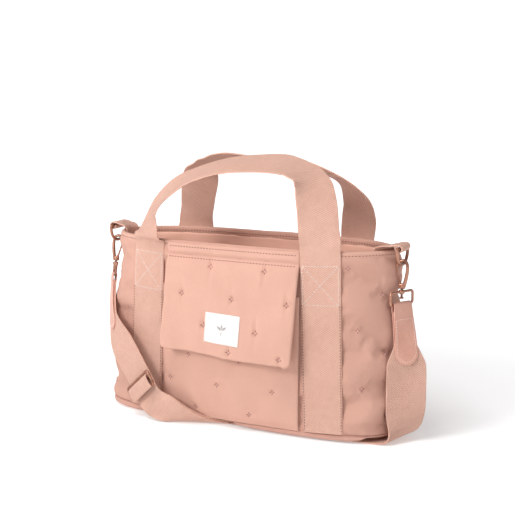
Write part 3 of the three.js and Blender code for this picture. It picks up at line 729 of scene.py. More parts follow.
class Sprigs:
    """Small embroidered sprigs: four arms of crossing stitches round a pale middle."""

    def __init__(self, seed):
        self.dark, self.pale = Stitches(), Stitches()
        self.rng = np.random.default_rng(seed)

    def add(self, sheet, normals, u, v, offset=0.0):
        """A sprig at (u, v) of a sheet, on the cloth's face that stands off it by the offset."""

        def stroke(target, reach, turned, angle, length, radius):
            step = np.array([-length / 2, length / 2])
            us = u + reach * math.cos(turned) + math.cos(angle) * step
            vs = v + reach * math.sin(turned) + math.sin(angle) * step
            normal = unit(sheet.sample(normals, us, vs))
            start, end = sheet.at(us, vs) + normal * (offset + 0.1)
            target.add(start, end, unit(normal[0] + normal[1]), radius)

        for quarter in (1, 2, 3, 4):
            arm = quarter * math.pi / 2 + self.rng.uniform(-0.1, 0.1)
            for reach, slant in ((1.9, 0.8), (1.9, -0.8), (3.0, 0.0)):
                stroke(self.dark, reach, arm, arm + slant + self.rng.uniform(-0.12, 0.12), 1.8, 0.4)
        for angle in (0.4, 1.2, 2.0, 2.8):
            stroke(self.pale, 0, 0, angle, 2.1, 0.5)

    def place(self, name, body):
        put(self.dark.piece(name, EMBROIDERY), body, "cotton")
        put(self.pale.piece(name + "_pale", EMBROIDERY_PALE), body, "cotton")


# ---------- walls, rim, lining and base ----------

WALL_TACKS = [(154, 217), (191, 184), (167, 141), (196, 111), (174, 69), (199, 34)]


def wall_tacks():
    """Tack positions (along, z) all round the walls, mirrored and turned from the right-hand front ones."""
    tacks = []
    grid = np.linspace(0, QUARTER, 800)
    for x, z in WALL_TACKS:
        a = float(np.interp(x, outline(grid, z)[:, 0], grid))
        tacks += [(a, z), (2 * QUARTER - a + 8, z - 3), (2 * QUARTER + a, z), (-a + 6, z - 4)]
    for row, z in enumerate((214, 177, 140, 103, 66, 32)):
        for column in (-1, 0, 1):
            x = column * 74.5 + (37 if row % 2 else 0)
            if abs(x) < 92:
                tacks.append((2 * QUARTER - x, z))
    return tacks


def from_tack(sheet, u, v, tack):
    """Offsets of sheet positions from a tack, the short way round."""
    du = u - tack[0]
    if sheet.wrap:
        du = (du + sheet.wrap / 2) % sheet.wrap - sheet.wrap / 2
    return du, v - tack[1]


def simulated(points, faces, pinned, bound):
    """Cloth blown gently outwards from its fixed points, its movement held within a bound of millimetres."""
    piece = build("cloth", points, faces)
    group = piece.vertex_groups.new(name="pin")
    group.add([int(i) for i in np.flatnonzero(pinned)], 1.0, "REPLACE")
    cloth = piece.modifiers.new("cloth", "CLOTH")
    cloth.collision_settings.use_collision = False
    for key, value in dict(quality=6, mass=0.3, vertex_group_mass="pin", tension_stiffness=18,
                           compression_stiffness=12, shear_stiffness=6, bending_stiffness=0.8, shrink_min=-0.018,
                           use_pressure=True, uniform_pressure_force=1.2).items():
        setattr(cloth.settings, key, value)
    cloth.settings.effector_weights.gravity = 0
    scene = bpy.context.scene
    scene.frame_start, scene.frame_end = 1, 26
    for number in range(1, 27):
        scene.frame_set(number)
    evaluated = piece.evaluated_get(bpy.context.evaluated_depsgraph_get())
    moved = np.zeros(len(points) * 3)
    evaluated.data.vertices.foreach_get("co", moved)
    scene.frame_set(1)
    bpy.data.objects.remove(piece)
    shift = moved.reshape(-1, 3) / MM - points
    length = np.linalg.norm(shift, axis=1, keepdims=True)
    return points + shift * np.minimum(1, bound / np.maximum(length, 1e-9))


def wall_shape(tacks):
    """The walls' outer face as a sheet: x along the outline, y up."""
    along = around_all(208)
    heights = np.concatenate([[SEAM_Z - 1.2, SEAM_Z, SEAM_Z + 1.5], np.linspace(SEAM_Z + 5, RIM_TOP - 5.5, 46),
                              [RIM_TOP - 4.2, RIM_TOP - 3]])
    sheet = Sheet(outline_grid(along, heights), along, heights, wrap=4 * QUARTER)
    u, v = np.meshgrid(along, heights)
    normal = sheet.normals()
    x, y = np.abs(sheet.grid[..., 0]), sheet.grid[..., 1]
    fixed = (v < SEAM_Z + 2) | (v > RIM_TOP - 6)
    fixed |= (np.abs(x - legs_middle(v)) < WEBBING_WIDTH / 2 - 3) & (np.abs(y) > 20)
    fixed |= (x < POCKET_HALF) & (y < 0) & (v < POCKET_TOP - 10)
    for tack in tacks:
        fixed |= np.hypot(*from_tack(sheet, u, v, tack)) < 3.6
    free = smooth(v, SEAM_Z, SEAM_Z + 22) * (1 - smooth(v, RIM_TOP - 20, RIM_TOP - 5))
    end = smooth(x, 138, 182)
    broad = np.sin(v / 11.5 + noise(u, v * 0.6, 22, 120) * 2.4)
    fold = (noise(u * 0.35, v * 1.5, 21, 60) * (0.8 + 0.8 * end) + broad * (0.4 + 2.2 * end)) * free
    grid = sheet.grid + normal * np.where(fixed, 0, fold)[..., None]
    faces = grid_faces(len(heights), len(along), wrap=True)
    grid = simulated(grid.reshape(-1, 3), faces, fixed.ravel(), 3.2).reshape(grid.shape)
    lines = bell(noise(u * 0.22, v, 23, 62), 0.2)
    sheet.grid = grid - normal * ((0.35 + 1.3 * end) * lines * free * ~fixed)[..., None]
    return sheet


def finer(sheet):
    """A wrapped sheet with twice the rows and columns, smoothly between its points."""
    rows, cols = sheet.grid.shape[:2]
    at_rows = np.linspace(0, rows - 1, (rows - 1) * 2 + 1)
    at_cols = np.arange(cols * 2) / 2
    grid = cubic(cubic(sheet.grid, at_rows).transpose(1, 0, 2), at_cols, wrap=True).transpose(1, 0, 2)
    across = sheet.across[0] + at_cols * sheet.wrap / cols
    return Sheet(grid, across, np.interp(at_rows, np.arange(rows), sheet.along),
                 sheet.wrap)


def dimpled(sheet, tacks, depth=1.5, width=4.2, pull=0.9, seed=3):
    """Tacks pull the cloth in, with short creases running out of each."""
    rng = np.random.default_rng(seed)
    u, v = np.meshgrid(sheet.across, sheet.along)
    dip = np.zeros(u.shape)
    for tack in tacks:
        du, dv = from_tack(sheet, u, v, tack)
        distance, angle = np.hypot(du, dv), np.arctan2(dv, du)
        creases = np.cos(angle * 2 + rng.uniform(-0.5, 0.5)) + 0.6 * np.cos(angle * 5 + rng.uniform(0, 6))
        spokes = pull * 0.35 * creases * bell(distance - 9, 8) * smooth(distance, 1, 6)
        dip += depth * bell(distance, width) + spokes
    sheet.push(-dip)
    return sheet


def walls():
    tacks = wall_tacks()
    sheet = dimpled(finer(wall_shape(tacks)), tacks)
    low = smooth(np.meshgrid(sheet.across, sheet.along)[1], SEAM_Z - 1.2, SEAM_Z + 6)
    sheet.push((low - 1) * 1.6)
    put(thick("quilted_walls", sheet, WALL_PADDING, SHADED_WALL_COTTON, 2.0, back=WALL_PADDING), "bag", "cotton",
        "front_panel", "back_panel")
    motif, normals = Sprigs(11), sheet.normals()
    for a, z in tacks:
        x, y, _ = sheet.at(np.array([a]), np.array([z]))[0]
        leg = abs(abs(x) - float(legs_middle(z))) < WEBBING_WIDTH / 2 + 4 and abs(y) > 20
        if not leg and not (abs(x) < POCKET_HALF and y < 0):
            motif.add(sheet, normals, a, z)
    motif.place("wall_sprigs", "bag")


def rim():
    """The rolled binding round the top edge, with a row of stitches outside and one inside."""
    along = around_all(480)
    inner = 6.4
    section = [(0.9, -12), (0.1, -10.6), (-0.35, -8), (-0.35, -5.2), (-0.55, -3.0), (-0.3, -1.2), (0.7, -0.2),
               (2.2, 0.3), (4.0, 0.1), (5.6, -0.8), (inner, -2.4), (inner + 0.1, -6), (inner, -11),
               (inner - 1.6, -12), (4.0, -12.2), (2.0, -12.2)]
    lift = noise(along, along * 0, 5, 70) * 0.35
    grid = np.stack([outline(along, RIM_TOP + z, inset) for inset, z in section]) + lift[:, None] * Z
    put(build("rolled_rim", grid.reshape(-1, 3), grid_faces(len(section), len(along), wrap=True, loop=True),
              flat_uvs(along, run_of(section)), COTTON), "bag", "cotton", "rim_binding")
    stitches = Stitches()
    for inset, drop, way in ((-0.45, 4.6, 1), (inner + 0.02, 5.0, -1)):
        z = RIM_TOP - drop
        line = outline(along, z, inset) + lift[:, None] * Z
        face = outline_normals(along, (z - 1, z, z + 1)) * way
        stitches.row(np.concatenate([line, line[:1]]), np.concatenate([face, face[:1]]), 2.9, 1.3, 0.6)
    put(stitches.piece("rim_stitches", THREAD_PAINTED_SHADE), "bag", "cotton")


def lining():
    along = around_all(240)
    heights = np.concatenate([np.linspace(13, 60, 10, endpoint=False), np.linspace(60, RIM_TOP - 7, 44)])
    depth = np.interp(heights, [13, 20, 60, 180, RIM_TOP - 12, RIM_TOP - 7], [9.5, 8.2, 7.6, 7.2, 6.2, 6.0])
    sheet = Sheet(outline_grid(along, heights, depth), along, heights, wrap=4 * QUARTER)
    u, v = np.meshgrid(along, heights)
    free = 1 - smooth(v, RIM_TOP - 40, RIM_TOP - 10)
    sag = (noise(u, v * 0.5, 31, 90) * 1.6 + np.abs(noise(u * 1.4, v * 0.4, 33, 46)) * 1.5) * (0.25 + free)
    below_rim = smooth(v, 18, 40) * (1 - smooth(v, RIM_TOP - 16, RIM_TOP - 7))
    clear_of_folds = 4.2 * smooth(np.abs(sheet.grid[..., 0]), 132, 170) * below_rim
    sheet.push(-(np.maximum(0.0, sag) + clear_of_folds))
    put(thick("lining", sheet, 1.1, LINING_WITH_PAINTED_LIGHT, 0.6), "bag", "lining", "front_lining", "back_lining")

    around = around_all(160)
    edge = outline(around, 15.5, 9.0)
    rings = np.linspace(0, 1, 22)
    grid = np.stack([edge * [share, share, 1] for share in rings])
    grid[..., 2] = (16.2 + noise(grid[..., 0], grid[..., 1], 41, 60) * 0.35 - 0.6 * smooth(rings, 0.9, 1)[:, None])
    grid[0] = grid[0].mean(axis=0)
    size = (len(rings), len(around))
    count = grid[..., 0].size
    faces = grid_faces(*size, 0, True, flip=True) + grid_faces(*size, count, True)
    outer = count - len(around)
    faces += [tuple(outer + i for i in (c, d, count + d, count + c))
              for c, d in zip(range(len(around)), [*range(1, len(around)), 0])]
    points = np.concatenate([grid.reshape(-1, 3), (grid - 1.1 * Z).reshape(-1, 3)])
    put(cleaned(build("bottom_lining", points, faces, points[:, :2], LINING_WITH_PAINTED_LIGHT)), "bag", "lining", "lining_floor")
    stiffener = frame["nodes"]["base_board"]
    stiffener.data.materials.clear()
    stiffener.data.materials.append(BOARD)


CHANNEL = np.array([(-90, -92), (-62, -70), (-35, -52), (0, -38), (47, -32), (110, -31), (150, -27), (197, -21),
                    (225, -20)])


def channel_depth(x, y):
    """How far the strap presses into the padded base at a point of its underside."""
    best = np.full(np.shape(x), 1e9)
    for a, b in zip(CHANNEL, CHANNEL[1:]):
        d = b - a
        t = np.clip(((x - a[0]) * d[0] + (y - a[1]) * d[1]) / (d @ d), 0, 1)
        best = np.minimum(best, np.hypot(x - a[0] - t * d[0], y - a[1] - t * d[1]))
    return 8.4 * (1 - smooth(best, 25, 33))


def base():
    """The padded base: rolled up to the seam all round, pressed in where the strap passes."""
    around = around_all(416)
    side = [(1.6, 9.2), (0.4, 8.6), (-0.3, 7.6), (-0.6, 6.0), (-0.3, 4.2), (0.8, 2.4), (2.8, 0.9), (5.6, 0.2),
            (9, 0.05)]
    rows = [outline(around, z, inset) for inset, z in side]
    middle = outline(around, 0.0, 9.0)
    for share in np.linspace(0.94, 0.02, 30):
        row = middle * [share, share, 1]
        row[:, 2] = 0.05 + 0.5 * bell(share - 0.5, 0.3) * np.abs(noise(row[:, 0], row[:, 1], 51, 40))
        rows.append(row)
    grid = np.stack(rows)
    x, y, z = grid.transpose(2, 0, 1)
    z += np.clip(channel_depth(x, y) - z * 0.75, 0, None) * (z < 8)
    z[:len(side)] += (noise(x * 1.6, y * 1.6, 53, 22) * 0.35 * bell(z - 5.0, 3.0))[:len(side)]
    top = [outline(around, 12.0, 5.0) * [share, share, 1] for share in (0.02, 0.3, 0.55, 0.8, 0.97)]
    grid = np.concatenate([np.stack(top + [outline(around, 12.0, 3.4)]), grid])
    points = grid.reshape(-1, 3)
    put(cleaned(build("padded_base", points, capped(len(grid), len(around)), points[:, :2] + points[:, 2:3],
                      SHADED_BASE_COTTON)), "bag", "cotton", "base_panel")
    seam = Stitches()
    line = outline(around, SEAM_Z + 2.6, -0.1)
    face = outline_normals(around, (SEAM_Z + 1, SEAM_Z + 2, SEAM_Z + 3))
    x = np.abs(line[:, 0])
    shown = (np.abs(x - LEG_X_BASE) > WEBBING_WIDTH / 2) & ~((x < POCKET_HALF + 4) & (line[:, 1] < 0))
    breaks = np.flatnonzero(np.diff(shown.astype(int))) + 1
    for part in np.split(np.arange(len(line)), breaks):
        if shown[part[0]] and len(part) > 2:
            seam.row(line[part], face[part], 2.9, 0.8, 0.34)
    put(seam.piece("base_seam_stitches", THREAD_PAINTED_SHADE), "bag", "cotton")


# ---------- webbing handles ----------

class Ribbon(Sheet):
    """A strip of webbing or leather through stations (position, direction across), its face on the cross product
    across x along. Unless it is skewed, the directions across are made square to the line."""

    def __init__(self, centres, acrosses, width, step_across=3.5, narrow=None, skewed=False):
        tangent = unit(np.gradient(centres, axis=0))
        if not skewed:
            acrosses = unit(acrosses - tangent * np.sum(acrosses * tangent, axis=1, keepdims=True))
        self.faces_out = unit(np.cross(acrosses, tangent))
        run = run_of(centres)
        columns = spread(-width / 2, width / 2, step_across, edge=(0.25, 0.6, 1.2))
        shares = np.ones(len(run)) if narrow is None else narrow(run)
        grid = centres[:, None, :] + acrosses[:, None, :] * (columns[None, :] * shares[:, None])[..., None]
        super().__init__(grid, columns, run)
        lean = np.sum(unit(acrosses) * tangent, axis=1)
        u = columns * (shares * np.sqrt(1 - np.minimum(lean ** 2, 0.9)))[:, None]
        v = run[:, None] + columns * (shares * lean)[:, None]
        self.flat = np.stack([u, v], axis=-1).reshape(-1, 2)

    def uvs(self):
        return self.flat

    def wave(self, heights):
        """Moves the ribbon off its own line, along its face."""
        self.grid += self.faces_out[:, None, :] * heights[..., None]


def with_ends(line, near=(0.15, 0.5, 1.0)):
    """Extra rows close to both ends of a sampled line, so that a rounded edge has points to turn on."""
    run = run_of(line[:, :3])
    return table(with_extra(run, [*near, *(run[-1] - d for d in near)]), run, line)


# stations from the left leg's hinge to the right one's: position from the hinge, then the direction across
FRONT_ARCH = [(-121, -6, 0, .97, -.24, 0), (-120.5, -5, 9, .87, -.5, 0), (-119, 2, 26, .66, -.75, 0),
              (-110, 9, 45, .62, -.78, -.05), (-90, 13, 65, .42, -.84, -.3), (-62, 16, 81, .15, -.92, -.36),
              (-25, 18, 93, 0, -.93, -.37), (20, 18, 99, 0, -.93, -.37), (66, 17, 99, 0, -.93, -.37),
              (100, 14, 84, -.55, -.82, -.05), (112, 9, 56, -.86, -.5, 0), (118, 3, 26, -.92, -.38, 0),
              (121, .6, 9, -.98, -.15, 0), (121, 0, 3, -1, 0, 0)]
BACK_ARCH = [(-121, 0, 3, 1, 0, 0), (-122, 1, 22, 1, -.1, 0), (-119, 5, 44, .93, -.35, 0),
             (-103, 12, 70, .6, -.78, -.12), (-74, 17, 86, .2, -.92, -.32), (-36, 18, 93, 0, -.93, -.37),
             (20, 18, 95, 0, -.93, -.37), (66, 17, 93, 0, -.93, -.37), (100, 14, 79, -.55, -.82, -.05),
             (111, 9, 56, -.95, -.3, 0), (118, 3, 26, -1, -.05, 0), (121, .6, 9, -1, 0, 0), (121, 0, 3, -1, 0, 0)]


def handle_line(arch):
    """Stations (x, y, z, across) of one leg, the handle and the other leg, from base to base."""

    def leg(sign):
        rows = []
        for z in (10, 16, 40, 75, 110, 145, 180, 205, 220, 230, 235.5):
            x = sign * float(legs_middle(z))
            rows.append((x, -wall_depth(x, z) - 1.6, z, -sign, 0, 0))
        return rows

    return leg(-1) + [(x, HINGE_Y + y, HINGE_Z + 1 + z, *across) for x, y, z, *across in arch] + leg(1)[::-1]


def handle(side):
    """A handle with its two legs in one length of webbing, and the sewing that holds the legs."""
    turn = 1 if side == "front" else -1
    line = with_ends(curve(handle_line(FRONT_ARCH if turn > 0 else BACK_ARCH), 2.2, blur=2.5))
    centres, z = line[:, :3], line[:, 2]
    ribbon = Ribbon(centres, unit(line[:, 3:]), WEBBING_WIDTH)
    run, down, over = ribbon.along, ribbon.along[:, None], ribbon.across[None, :]
    low = np.minimum(z, RIM_TOP)
    depth = wall_depth(np.abs(ribbon.grid[..., 0]), low[:, None]) - wall_depth(np.abs(centres[:, 0]), low)[:, None]
    ribbon.grid[..., 1] -= depth * (1 - smooth(z, RIM_TOP - 6, RIM_TOP + 26))[:, None]
    above = smooth(z, RIM_TOP + 10, RIM_TOP + 50)[:, None]
    sag = noise(down * 0.8, over * 0.35, 61 + turn, 75) * 1.5 * above
    curl = (2 * over / WEBBING_WIDTH) ** 2 * 1.6 * above * np.sin(down / 41 + 1.1)
    shoulder = bell(np.linalg.norm(centres - [97, HINGE_Y + 15, HINGE_Z + 88], axis=1), 20)
    folds = np.sin(down / 2.9 + over * 0.14) * 1.1 * shoulder[:, None]
    ribbon.wave(sag + curl + folds)
    if turn < 0:
        ribbon.grid = ribbon.grid * [-1, -1, 1]
    hinge = np.array([0, HINGE_Y * turn, HINGE_Z])
    bend(thick(f"{side}_webbing_handle", ribbon, WEBBING, WEBBING_CLOTH, 1.0), "webbing", "bag", f"{side}_handle",
         hinge - 4.5 * Z, hinge + 5.5 * Z, f"{side}_left_leg", f"{side}_right_leg", f"{side}_handle")

    boxes, edging = Stitches(), Stitches()
    half, lift = WEBBING_WIDTH / 2, WEBBING / 2 + 0.05
    near = half - 3.0
    across = np.linspace(-near, near, 30)
    for origin in (run[0], run[-1]):
        leg = np.flatnonzero(np.abs(run - origin) < 260)
        leg = leg[np.argsort(z[leg])]
        top, bottom, foot = np.interp([RIM_TOP - 18, RIM_TOP - 66, 13], z[leg], run[leg])
        rising, falling = np.linspace(bottom, top, 30), np.linspace(top, bottom, 30)
        for u, v in ((-near, rising), (near, rising), (across, top), (across, bottom), (across, falling),
                     (-across, falling)):
            boxes.on(ribbon, lift, u, v, 2.9, 0.9, 0.7)
        for u in (1.6 - half, half - 1.6):
            edging.on(ribbon, lift, u, np.linspace(foot, bottom, 90), 2.6, 1.0, 0.5)
    put(boxes.piece(f"{side}_box_stitches", THREAD), "bag", "webbing")
    put(edging.piece(f"{side}_leg_stitches", THREAD_PAINTED_SHADE), "bag", "webbing")


# ---------- pocket and flap ----------

POCKET_TACKS = [(-54, 93), (20, 93), (-86, 57), (-13.5, 57), (64, 57), (-47, 23), (31, 23), (-28, 130), (46, 130)]
FLAP_TACKS = [(-24, 11.7), (52, 11.7), (-63, 48.7), (10, 48.7), (85, 48.7), (-28, 85.4), (46, 85.4), (12, 118),
              (81, 118)]


def pocket():
    columns = spread(-POCKET_HALF - 1, POCKET_HALF + 1, 1.9, edge=(0.3, 0.9))
    heights = spread(SEAM_Z + 1, POCKET_TOP, 1.9, edge=(0.3, 0.9, 1.6))
    x, z = np.meshgrid(columns, heights)
    share = (x + POCKET_HALF) / (2 * POCKET_HALF)
    low = np.clip((z - POCKET_LOW[2]) / (POCKET_TOP - POCKET_LOW[2]), 0, 1)
    arched = np.sin(np.pi * np.clip(share, 0, 1))
    lift = 1.6 + 12 * arched ** 0.7 * np.sin(np.pi * (0.08 + 0.75 * low)) + 1.6
    folds = np.sin(x / 8.5 + noise(x, z * 0.5, 71, 60) * 1.6) * 1.3 * arched * bell(low - 0.06, 0.22)
    soft = noise(x, z, 72, 48) * 1.1 * arched * smooth(low, 0.02, 0.2)
    slack = (2.2 * bell(share - 0.06, 0.035) * smooth(low, 0.05, 0.3)
             + 1.6 * bell(share - 0.95, 0.03) * smooth(low, 0.1, 0.4))
    ease = smooth(z, SEAM_Z + 1, SEAM_Z + 12)
    offset = lift * lerp(0.35, 1.0, ease) + (folds + soft) * lerp(0.25, 1, ease) - slack * 0.4
    sheet = Sheet(np.stack([x, -wall_depth(x, z) - offset, z], axis=-1), columns, heights)
    sheet = dimpled(sheet, POCKET_TACKS, width=4.0, seed=9)
    put(thick("quilted_pocket", sheet, 2.8, COTTON, 1.5), "bag", "cotton", "front_pocket")
    motif, stitches, normals = Sprigs(12), Stitches(), sheet.normals()
    for tack in POCKET_TACKS:
        motif.add(sheet, normals, *tack, 1.4)
    motif.place("pocket_sprigs", "bag")
    hem = np.linspace(-POCKET_HALF + 4, POCKET_HALF - 4, 120)
    for drop in (7.0, 12.0):
        stitches.on(sheet, 1.4, hem, POCKET_TOP - drop, radius=0.36)
    put(stitches.piece("pocket_hem_stitches", THREAD), "bag", "cotton")


FOLD = RIM_TOP - 1.5 - FLAP_FOLD  # how far below the rim the band ends and the flap begins


def flap_section(x, run):
    """Points of the flap's outer face: run is the distance down from the rim, first over the band."""
    down = np.maximum(0, run - FOLD)
    band_z = RIM_TOP - 1.5 - np.minimum(run, FOLD)
    start, straight = -wall_depth(x, FLAP_FOLD), -wall_depth(3.5, FLAP_FOLD)
    flat = lerp(start, straight, smooth(down, 0, 16)) - down * math.sin(LEAN)
    y = np.where(run > FOLD, flat, -wall_depth(x, band_z)) - 4.6
    return np.stack([x, y, np.where(run > FOLD, FLAP_FOLD - down * math.cos(LEAN), band_z)], axis=-1)


def flap():
    total = FOLD + FLAP_LENGTH + 1.0
    left, right = FLAP_LOW[0], FLAP_HIGH[0]
    middle, half = (left + right) / 2, (right - left) / 2 + 0.5
    columns = spread(middle - half, middle + half, 1.8, edge=(0.4, 1.1, 2.2))
    runs = spread(0, total, 1.8, edge=(0.4, 1.1, 2.2))
    x, run = np.meshgrid(columns, runs)
    down = run - FOLD
    corner = 9.0
    past = np.clip(down - (total - FOLD - corner), 0, corner)
    x = middle + (x - middle) * (half - corner + np.sqrt(np.maximum(0, corner ** 2 - past ** 2))) / half
    share = (x - left) / (right - left)
    grid = flap_section(x, np.where(down > 0, FOLD + down * (1 + 0.055 * smooth(share, 0, 1)), run))
    free = smooth(down, 2, 30)
    pucker = sum(2.0 * bell(x - tx, 2.6) * bell(down - td, 15) for tx, td in FLAP_TACKS)
    offset = 1.6 * np.sin(np.pi * np.clip(share, 0, 1)) ** 0.5 * smooth(down, 0, 14) + noise(x, run, 81, 46) * free
    offset += 1.3 * np.sin(x / 17 + 0.6) * smooth(down, FLAP_LENGTH - 30, FLAP_LENGTH)
    offset -= (pucker + 0.8 * bell(down - FLAP_LENGTH, 14) + 2.0 * bell(down + 0.8, 1.8)
               + 0.9 * bell(run - 3.2, 1.1))
    grid[..., 1] -= offset * math.cos(LEAN)
    grid[..., 2] -= offset * math.sin(LEAN) * free
    tacks = [(tx, -min(td + FOLD, total - 8)) for tx, td in FLAP_TACKS]
    sheet = dimpled(Sheet(grid[::-1], columns, -runs[::-1]), tacks, depth=1.4, width=3.8, pull=0.8, seed=15)
    u, v = np.meshgrid(sheet.across, sheet.along)
    dents = np.minimum(pucker[::-1] + sum(1.4 * bell(np.hypot(u - tx, v - ty), 3.8) for tx, ty in tacks), 3.4)
    hinge = joint_at("flap_open")
    bend(thick("quilted_flap", sheet, 4.4, COTTON, 3.2, back=4.4 - dents), "cotton", "bag", "flap", hinge + 4 * Z,
         hinge - 6 * Z, "flap_band", "pocket_flap")

    keep = sheet.along < -FOLD - 4
    face = np.array([0, -math.cos(LEAN), -math.sin(LEAN)])
    inner = Sheet((sheet.grid + face * (dents[..., None] - 4.7))[keep], columns, sheet.along[keep])
    inner.grid[..., 0] = middle + (inner.grid[..., 0] - middle) * 0.985
    put(thick("flap_lining", inner, 1.8, LINING_WITH_PAINTED_LIGHT, 1.4, back=1.8), "flap", "lining", "flap_backing")
    for name, body, below in (("band_stitches", "bag", 4.6), ("flap_stitches", "flap", FOLD + 3.0)):
        stitches = Stitches()
        stitches.on(sheet, 0.0, np.linspace(columns[0] + 3, columns[-1] - 3, 130), -below, 2.9, 1.3, 0.6)
        put(stitches.piece(name, THREAD_PAINTED_SHADE), body, "cotton")
    motif, normals = Sprigs(13), sheet.normals()
    for tack in tacks:
        motif.add(sheet, normals, *tack)
    motif.place("flap_sprigs", "flap")
    label(sheet)


def label(flap_sheet):
    """A blank woven label with a stitched border and a small leaf sprig."""
    width, height = LABEL_HIGH[0] - LABEL_LOW[0], 37.0
    middle = (LABEL_HIGH[0] + LABEL_LOW[0]) / 2 - 1.0
    down = (FLAP_HIGH[2] - (LABEL_HIGH[2] + LABEL_LOW[2]) / 2) / math.cos(LEAN) + FOLD
    columns = spread(-width / 2, width / 2, 2.4, edge=(0.15, 0.4))
    runs = spread(-height / 2, height / 2, 2.4, edge=(0.15, 0.4))
    at = np.meshgrid(columns + middle, runs - down)
    surface, normal = flap_sheet.at(*at), flap_sheet.normal(*at)
    share_u, share_v = (columns / width + 0.5)[None, :, None], (runs / height + 0.5)[:, None, None]
    low, high = (lerp(row[0], row[-1], share_u) for row in (surface[0], surface[-1]))
    flat = lerp(low, high, share_v)
    rise = np.sum((surface - flat) * normal, axis=-1, keepdims=True)
    sheet = Sheet(flat + normal * (np.maximum(rise, -0.4) + 0.55), columns, runs)
    put(thick("woven_label", sheet, 0.7, LABEL, 0.35), "flap", "label", "flap_label")
    border, leaf = Stitches(), Stitches()
    near_x, near_y = width / 2 - 1.6, height / 2 - 1.6
    across, along = np.linspace(-near_x, near_x, 30), np.linspace(-near_y, near_y, 30)
    for u, v in ((-near_x, along), (near_x, along), (across, -near_y), (across, near_y)):
        border.on(sheet, 0.34, u, v, 1.9, 0.6, 0.22)
    put(border.piece("label_stitches", thread_finish("label_thread", 226, 206, 200)), "flap", "label")

    def stroke(u, v, radius):
        normals = sheet.normal(u, v)
        start, end = sheet.at(u, v) + normals * 0.30
        leaf.add(start, end, normals[0], radius)

    for a in np.radians((-48, 0, 48)):
        for share in np.linspace(0, 1, 9):
            reach = 1.2 + 7.4 * share
            sides = (1.7 * math.sin(math.pi * share) + 0.25) * np.array([-1, 1])
            stroke(math.sin(a) * reach + math.cos(a) * sides,
                   math.cos(a) * reach - math.sin(a) * sides - 2.5, 0.26)
    stroke(np.zeros(2), np.array([-3.4, -8.5]), 0.3)
    put(leaf.piece("label_sprig", thread_finish("sprig_thread", 92, 80, 76)), "flap", "label")


def snaps():
    """The two halves of the flap's hidden magnetic snap, the flap's one raised to lie on the lining."""
    disc = [(0.2, -0.7), (7.2, -0.7), (7.8, -0.3), (8.0, 0.1), (7.7, 0.5), (6.9, 0.7), (6.4, 0.45), (3.2, 0.4),
            (2.8, 0.7), (0.2, 0.8)]
    for body, name, normal, raised in (("flap", "flap_snap", np.array([0, math.cos(LEAN), -math.sin(LEAN)]), 1.8),
                                       ("bag", "pocket_snap", -Y, 0)):
        low, high = corners(name)
        metal_piece(f"{name}_disc", body, lathe(disc, (low + high) / 2 + normal * raised, normal, sides=40), name)


# ---------- rings and hooks ----------

def d_ring(side):
    """A D-shaped wire ring in the YZ plane, its straight bar at the top."""
    at = joint_at(f"{side}_ring_swing")
    half, tall, bar = 41 / 2 - WIRE, 25 - 2 * WIRE, 0.12
    a = (np.arange(96) + 0.5) / 96 * math.tau
    c, s = np.cos(a), np.sin(a)
    y = half * np.sign(c) * np.abs(c) ** np.where(s > 0, 0.35, 0.9)
    z = np.where(s > 0, bar * tall * np.abs(s) ** 0.35, -(1 - bar) * tall * np.abs(s) ** 0.9) - bar * tall
    line = curve(at + np.stack([np.zeros(96), y, z], axis=1), 1.4, closed=True)
    metal_piece(f"{side}_d_ring", f"{side}_ring", sweep(line, WIRE, closed=True, up=X), f"{side}_ring")


def ring_tab(side):
    """A strip of webbing sewn over the end of the rim and rolled round the ring's bar."""
    joint = joint_at(f"{side}_ring_swing")
    sign, tuck = (1, 38) if side == "right" else (-1, 26)
    loop = WIRE + 1.1 + 1.0
    line = [(-tuck, -26), (-tuck, -12), (-tuck + 0.5, -4), (-tuck + 5, 0.5), (-tuck * 0.5, 2.2), (-9, loop - 0.6)]
    line += [(loop * math.cos(a), loop * math.sin(a)) for a in np.linspace(0.5, -1.05, 15) * math.pi]
    line = curve([(x, 0, z) for x, z in line], 1.0, blur=0.8)
    centres = with_ends(line * [sign, 1, 1] + joint)
    ribbon = Ribbon(centres, np.tile([0, -sign, 0.0], (len(centres), 1)), 29.0, step_across=2.6)
    rim_line = outline(np.linspace(0, 2 * QUARTER, 400), RIM_TOP, 8.0)
    inner_x = np.interp(sign * ribbon.grid[..., 1], rim_line[:, 1], rim_line[:, 0])
    at_x = abs(joint[0])
    reach = sign * ribbon.grid[..., 0] - at_x
    pulled = np.where(reach < -6, -6 + (reach + 6) * (at_x - inner_x - 6) / (tuck - 6), reach)
    ribbon.grid[..., 0] = sign * (at_x + pulled)
    ribbon.wave(noise(ribbon.along[:, None], ribbon.across[None, :], 91 + sign, 26) * 0.35)
    put(thick(f"{side}_tab", ribbon, WEBBING, WEBBING_CLOTH, 1.0), "bag", "webbing", f"{side}_ring_tab")
    stitches = Stitches()
    for back in (tuck * 0.38, tuck * 0.38 + 3):
        v = np.interp(-back, line[:40, 0], run_of(line[:40]))
        stitches.on(ribbon, 0.95, np.linspace(-12.5, 12.5, 20), v, 2.4, 0.7, 0.34)
    put(stitches.piece(f"{side}_tab_stitches", THREAD), "bag", "webbing")


DROP, HOOK_WIDTH = 31.6, 13.8
LOOP_WIDTH, LOOP_HEIGHT, LOOP_DROP = 41.0, 19.0, 38.6


class Clip:
    """A hook's own directions: it hangs from the top of its bow, its spine on +x, turned into the bag's frame."""

    def __init__(self, side):
        axis = unit(JOINTS[f"{side}_hook_swivel"]["axis"])
        x = X if side == "right" else -X
        self.turn = np.stack([x, np.cross(axis, x), axis])
        at = joint_at(f"{side}_ring_swing")
        self.at = np.array([at[0], at[1], 225.6])

    def place(self, *shapes):
        points, faces = joined(*shapes)
        return self.point(points), faces

    def point(self, p):
        return np.asarray(p, float) @ self.turn + self.at


